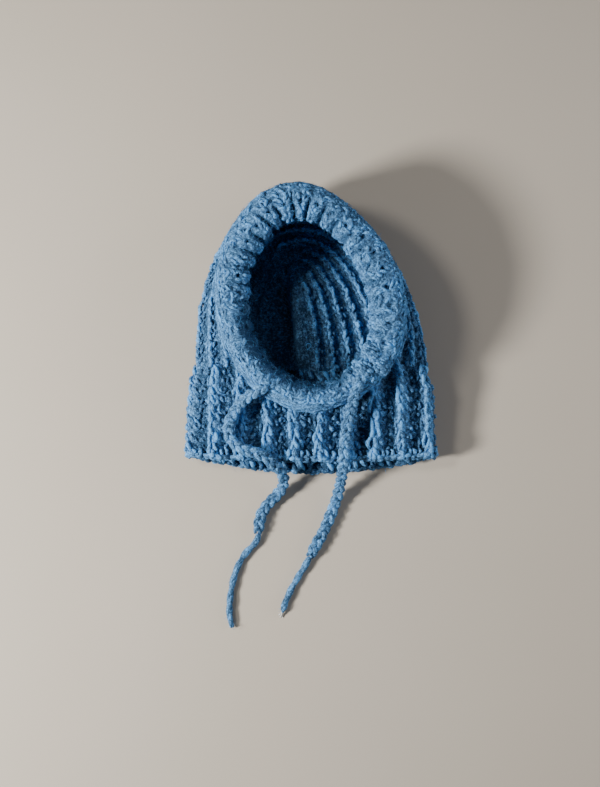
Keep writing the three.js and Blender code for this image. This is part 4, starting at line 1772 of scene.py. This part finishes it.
@dataclass
class Lump:
    """A small ball of stitches, such as the corner where the band's two ends meet."""

    name: str
    centre: tuple[float, float, float]
    radii: tuple[float, float, float]
    turn: float
    slot: str
    seed: int
    ribs: int = 8
    # Lines of the grid round the ball and from tip to tip, and how far short of the tips it stops.
    lines_round: int = 65
    lines_along: int = 37
    tip: float = 0.02
    core_depth: float = -0.6
    # Where stitches follow each other and how long each is, as shares from tip to tip.
    spacing: float = 0.18
    stitch: float = 0.2

    def patch(self) -> Patch:
        """Gives the ball's surface.

        Returns:
            The surface, where u counts ribs round the ball and v goes from tip to tip.
        """
        around = np.linspace(0, 2 * math.pi, self.lines_round)[:, None]
        pole = np.linspace(self.tip, math.pi - self.tip, self.lines_along)[None, :]
        ring = np.sin(pole)
        parts = [np.cos(pole) * np.ones_like(around), ring * np.cos(around), ring * np.sin(around)]
        shape = np.stack(parts, axis=-1)
        radii = np.array(self.radii)
        cos, sin = math.cos(math.radians(self.turn)), math.sin(math.radians(self.turn))
        spin = np.array([[cos, -sin, 0], [sin, cos, 0], [0, 0, 1]])
        points = (shape * radii) @ spin.T + np.array(self.centre)
        normals = unit((shape / radii) @ spin.T)
        return Patch(points, normals, (0, self.ribs), (0, 1), closed_u=True)

    def build(self, wool: bpy.types.Material, core: bpy.types.Material) -> None:
        """Builds the ball's lumpy core and the strands that run over it from tip to tip.

        Args:
            wool: the yarn that stands proud.
            core: the core's finish behind it, a darker copy of the wool as painted shade.
        """
        rng = np.random.default_rng(self.seed)
        patch = self.patch()
        ball = Ground(
            self.name + "_core",
            patch,
            u_count=48,
            v_count=36,
            wall=0.0,
            relief=lambda u, v: np.full_like(u, self.core_depth),
            lumps=1.1,
            sunk=-2.0,
            crest=1.0,
        )
        finished(ball.build(), core, [])
        rib, row = np.meshgrid(np.arange(2 * self.ribs) / 2, np.arange(5), indexing="ij")
        strokes = [Stroke((-0.25, 0.0, -2.0), (0.05, 0.60, 0.0), (0.35, 1.2, -2.0), 1.8)]
        step = np.full(rib.size, self.stitch)
        v = row.ravel() * self.spacing
        strands = stitch_strands(strokes, rib.ravel(), v, step, rng, loose=0.12)
        tubes = strand_tubes(patch, strands, YarnCut(rings=5, sides=5), low=-2.5, high=0.5)
        finished(tube_object(self.name, tubes, self.seed), wool, [])


@dataclass
class Threads:
    """A few bare fibres at a yarn's cut end, or a thread that stands out as a small loop."""

    name: str
    lines: list[list[tuple[float, float, float]]]
    radius: float
    slot: str
    seed: int
    rings: int = 14
    # How many of the last rings are thinner, and their share of the radius.
    tip_rings: int = 3
    tip_share: float = 0.6

    def build(self, finish: bpy.types.Material) -> None:
        """Builds the threads as thin tubes through their points.

        Args:
            finish: their finish.
        """
        lines = np.array(self.lines, dtype=float)
        t = np.linspace(0, lines.shape[1] - 1, self.rings)
        curved = np.stack([smooth(line, t, False) for line in lines])
        up = np.broadcast_to(np.array([0.0, 0.0, 1.0]), curved.shape)
        radius = np.full(curved.shape[:2], self.radius)
        radius[:, -self.tip_rings :] *= self.tip_share
        # Full crest level on the material's scale of painted shade and highlight.
        proud = np.ones(curved.shape[:2])
        tubes = tubes_from_lines(curved, up, radius, 1.0, 5, np.zeros(len(curved)), proud)
        finished(tube_object(self.name, tubes, self.seed), finish, [])


# The shapes' tables.

NECK_SECTIONS = np.array(
    [
        # y, middle x, half width, back z, front z
        [-8, 2.5, 140, 6.8, 35], [45, 2.5, 139, 6.8, 42], [85, 2, 136, 6.8, 51],
        [111, 1, 129, 6.8, 58],
    ],
    dtype=float,
)

CROWN_LINE = np.array(
    [
        # share across, x, y, z
        [0.0, -12, 290, 92], [0.1, -11, 303, 84], [0.2, -9, 309, 66], [0.3, -9, 308, 46],
        [0.4, -9, 301, 25], [0.5, -9, 288, 10], [0.6, -9, 272, 6], [0.8, -9, 239, 5.8],
        [1.0, -9, 205, 5.8],
    ],
    dtype=float,
)

BAND_SECTIONS = np.array(
    [
        # x, y, z, half width, half height, tilt
        [-12, 290, 96, 20, 17, 14], [-48, 278, 96, 20, 17, 12], [-76, 242, 93, 19.5, 17, 6],
        [-87, 208, 89, 18, 17, 0], [-87, 179, 84, 19, 17, -8], [-80, 148, 78, 20, 17, -16],
        [-64, 117, 71, 21, 17, -22], [-41, 94, 66, 21, 16, -24], [-4, 79, 63, 20, 16, -24],
        [35, 86, 64, 17, 15, -18], [64, 106, 72, 17, 17, -8], [82, 138, 80, 18, 18, 0],
        [84, 177, 86, 20, 17, 4], [71.5, 218, 91, 19.5, 17, 8], [46.5, 254, 95, 17.5, 17, 12],
        [19, 278.5, 96, 17, 17, 14],
    ],
    dtype=float,
)

LEFT_CORD_ROUTE = np.array(
    [
        [-38, 94, 75], [-47.5, 87, 81.9], [-58.5, 80.8, 83.1], [-70, 74.5, 76.6],
        [-81, 65.8, 65.5], [-89, 54.5, 58.3], [-93, 42.5, 55.3], [-91.8, 31, 54.2],
        [-84.5, 21.8, 53.2], [-73.5, 16.5, 52.5], [-61.5, 13, 52.6], [-50, 7.8, 51.4],
        [-40.3, -0.3, 45], [-33.5, -8.5, 34.5], [-31.3, -17, 23.5], [-33.8, -26, 14],
        [-40.5, -34.5, 8.3], [-49.5, -43.5, 6.7], [-56.7, -54.5, 6.7], [-60, -66, 6.7],
        [-61, -77.7, 6.7],
    ],
    dtype=float,
)

LEFT_TAIL_ROUTE = np.array(
    [
        [-61.05, -78.2, 6.3], [-61.5, -82.2, 6.1], [-65.4, -89.6, 4.8], [-76.3, -101.2, 4.1],
        [-85.7, -118, 4.1], [-91.1, -137, 4.1], [-93.7, -156, 4.1], [-93.6, -172, 4.1],
        [-90.8, -184.7, 4.1],
    ],
    dtype=float,
)

RIGHT_CORD_ROUTE = np.array(
    [
        [61, 113, 80.2], [57, 101, 86.2], [51.8, 88, 86.3], [47.3, 74, 78.6], [43.5, 59.5, 68.3],
        [40, 42, 59.8], [37.7, 24, 55], [36.5, 8, 52.4], [35.4, -5, 43.6], [34.1, -16.5, 29.5],
        [31.8, -29, 15.5], [27.5, -44, 8.1], [21, -60.5, 6.7], [13.3, -77.7, 6.7],
        [4.6, -93, 6.7], [-1.2, -104.5, 6.7],
    ],
    dtype=float,
)

RIGHT_TAIL_ROUTE = np.array(
    [
        [-1.45, -104.95, 6.3], [-3.1, -108, 5.9], [-7, -115.1, 4.7], [-13.7, -125.6, 4.1],
        [-22.4, -140.8, 4.1], [-28.7, -154.1, 4.1], [-33.2, -167.5, 4.1],
    ],
    dtype=float,
)


@dataclass
class Studio:
    """The floor, the window light from the upper left and the camera above."""

    camera_at: tuple[float, float, float] = (-12.78, -44.89, 1243.15)
    camera_tip: float = 6.0
    lens: float = 48.46
    sensor: float = 36.0
    # The lights face this place, in metres.
    lit_spot: tuple[float, float, float] = (0.0, 0.0, 0.03)
    floor_size: float = 6.0
    floor_z: float = -0.0002
    window_colour: str = "#fdfbf6"
    wall_colour: str = "#f3f6ff"
    sky_colour: str = "#e9edf4"
    sky_strength: float = 0.068

    def camera(self) -> None:
        """Puts the camera where the photograph was taken from, almost straight above."""
        data = bpy.data.cameras.new("camera")
        data.lens = self.lens
        data.sensor_width = self.sensor
        camera = bpy.data.objects.new("camera", data)
        bpy.context.collection.objects.link(camera)
        camera.location = row_metres(np.array(self.camera_at))
        camera.rotation_euler = (math.radians(self.camera_tip), 0.0, 0.0)
        bpy.context.scene.camera = camera

    def light(
        self, name: str, at: tuple[float, float, float], size: float, power: float, colour: str
    ) -> None:
        """Adds one soft light that faces the object.

        Args:
            name: the light's name.
            at: its place, in metres.
            size: its width, in metres.
            power: its power, in watts.
            colour: its colour.
        """
        data = bpy.data.lights.new(name, "AREA")
        data.shape = "DISK"
        data.size = size
        data.energy = power
        data.color = srgb(colour)[:3]
        lamp = bpy.data.objects.new(name, data)
        bpy.context.collection.objects.link(lamp)
        lamp.location = at
        x, y, z = np.array(self.lit_spot) - np.array(at)
        tip = math.atan2(math.hypot(x, y), -z)
        lamp.rotation_euler = (tip, 0.0, math.atan2(y, x) - math.pi / 2)

    def build(self) -> None:
        """Builds the floor, the lights and the soft surroundings."""
        deselect_all()
        bpy.ops.mesh.primitive_plane_add(size=self.floor_size, location=(0, 0, self.floor_z))
        floor = bpy.context.active_object
        floor.name = "floor"
        floor.data.materials.append(FloorFinish().material())
        deselect_all()
        self.light("window", (-1.32, -0.42, 0.95), 0.32, 49.0, self.window_colour)
        self.light("window_top", (-0.95, 0.22, 1.30), 0.3, 8.0, self.window_colour)
        self.light("right_wall", (1.6, 0.1, 0.7), 1.2, 12.0, self.wall_colour)
        self.light("near_wall", (-0.3, -1.8, 0.7), 1.2, 1.4, self.wall_colour)
        world = bpy.data.worlds.new("room")
        bpy.context.scene.world = world
        world.use_nodes = True
        sky = world.node_tree.nodes["Background"]
        sky.inputs["Color"].default_value = srgb(self.sky_colour)
        sky.inputs["Strength"].default_value = self.sky_strength


def main() -> None:
    """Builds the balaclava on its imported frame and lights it."""
    logging.basicConfig(level=logging.INFO, format="%(name)s: %(message)s")
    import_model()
    studio = Studio()
    studio.camera()
    cord_wool = WoolFinish("plaited_wool_cord", lightness=-0.06).material()
    braid = {
        "diameter": 12.4,
        "strands": 3,
        "strand_radius": 3.25,
        "sway": 3.75,
        "rise": 1.9,
        "pitch": 31.0,
        "end": CordEnd.KNOT,
    }
    yarn = {
        "diameter": 7.6,
        "strands": 2,
        "strand_radius": 2.9,
        "sway": 1.0,
        "rise": 0.9,
        "pitch": 36.0,
        "end": CordEnd.BARE,
    }
    cords = [
        Cord("cord_left", "drawstring_left", LEFT_CORD_ROUTE, **braid),
        Cord("cord_right", "drawstring_right", RIGHT_CORD_ROUTE, **braid),
        Cord("yarn_end_left", "tail_left", LEFT_TAIL_ROUTE, **yarn),
        Cord("yarn_end_right", "tail_right", RIGHT_TAIL_ROUTE, **yarn),
    ]
    for seed, cord in enumerate(cords, 50):
        cord.build(cord_wool, seed)
    # The ground behind the stitches is a darker copy of the wool: painted shade between the strands.
    ground = WoolFinish("wool_ground_painted_shade", lightness=-0.06).material()
    hair = WoolFinish("wool_fuzz", lightness=0.08).material()
    pale = WoolFinish("undyed_fibre", "#b9bcb8", "#e2e2dc", "#f6f4ee").material()
    neck_form = NeckForm(NECK_SECTIONS)
    band_form = BandForm(BAND_SECTIONS)
    hood_form = HoodForm(neck_form, band_form, CROWN_LINE)
    neck, hood, band = Neck(neck_form), Hood(hood_form), FaceBand(band_form)
    neck.build(WoolFinish("crocheted_wool_neck", lightness=0.04).material(), ground)
    hood.build(WoolFinish("crocheted_wool_hood", deep="#2b4a68").material(), ground)
    band_wool = WoolFinish("brushed_wool_band", deep="#34577a", lightness=-0.05).material()
    # A darker copy of the wool for the band's core: painted shade in the gaps between the strands.
    core_wool_painted_shade = WoolFinish("brushed_wool_core_painted_shade", "#2c4c6b", lightness=-0.14).material()
    band.build(band_wool, core_wool_painted_shade)
    corner = (
        ("band_corner_a", (67.0, 123.0, 88.0), (12.5, 9.5, 9.5), -50.0),
        ("band_corner_b", (75.5, 107.5, 86.0), (11.5, 9.0, 9.0), -42.0),
        ("band_corner_c", (58.5, 104.0, 86.0), (11.0, 9.0, 9.0), -60.0),
    )
    for seed, (name, centre, radii, turn) in enumerate(corner, 61):
        Lump(name, centre, radii, turn, "band_wool", seed).build(band_wool, core_wool_painted_shade)
    Threads(
        "pale_tip",
        [
            [(-32.6, -165.5, 4.6), (-33.8, -169.5, 4.0), (-34.4, -172.0, 2.2), (-36.0, -174.0, 1.2)],
            [(-32.2, -166.0, 4.0), (-33.0, -169.5, 3.2), (-33.4, -172.0, 1.6), (-33.0, -174.5, 1.0)],
            [(-33.2, -165.5, 4.8), (-34.6, -168.5, 4.2), (-36.0, -170.5, 2.8), (-37.6, -171.5, 1.4)],
        ],
        radius=0.75,
        slot="cord_wool",
        seed=65,
    ).build(pale)
    loop = [(0.0, 0.0), (2.6, 1.6), (4.6, 4.6), (2.4, 7.0), (-0.6, 6.0), (-1.2, 3.0), (0.6, 0.6)]
    Threads(
        "pale_loop",
        [[(-4.6 + x, 133.0 + y, 34.0 + 0.4 * y) for x, y in loop]],
        radius=0.5,
        slot="hood_wool",
        seed=66,
    ).build(WoolFinish("loose_thread", lightness=0.45).material())
    covers = (
        # the part and its name, number of fibres, heights of their roots, stretch along the ribs
        (neck, "neck", 2400, (1.4, 3.4), (-2, 104)),
        (hood, "hood", 1800, (2.4, 4.2), (0, 1)),
        (band, "band", 2400, (0.8, 2.4), (-0.12, 0.62)),
    )
    for seed, (part, name, count, height, span) in enumerate(covers, 71):
        fuzz = Fuzz(f"fuzz_{name}", f"{name}_wool", seed)
        fuzz.over(part.form.patch(), count, height, span, hair, part.relief)
    Fuzz("fuzz_cords", "cord_wool", 74, reach=(2.5, 5.0)).along(cords, 0.5, hair)
    studio.build()
    log.info("size written")


if __name__ == "__main__":
    main()
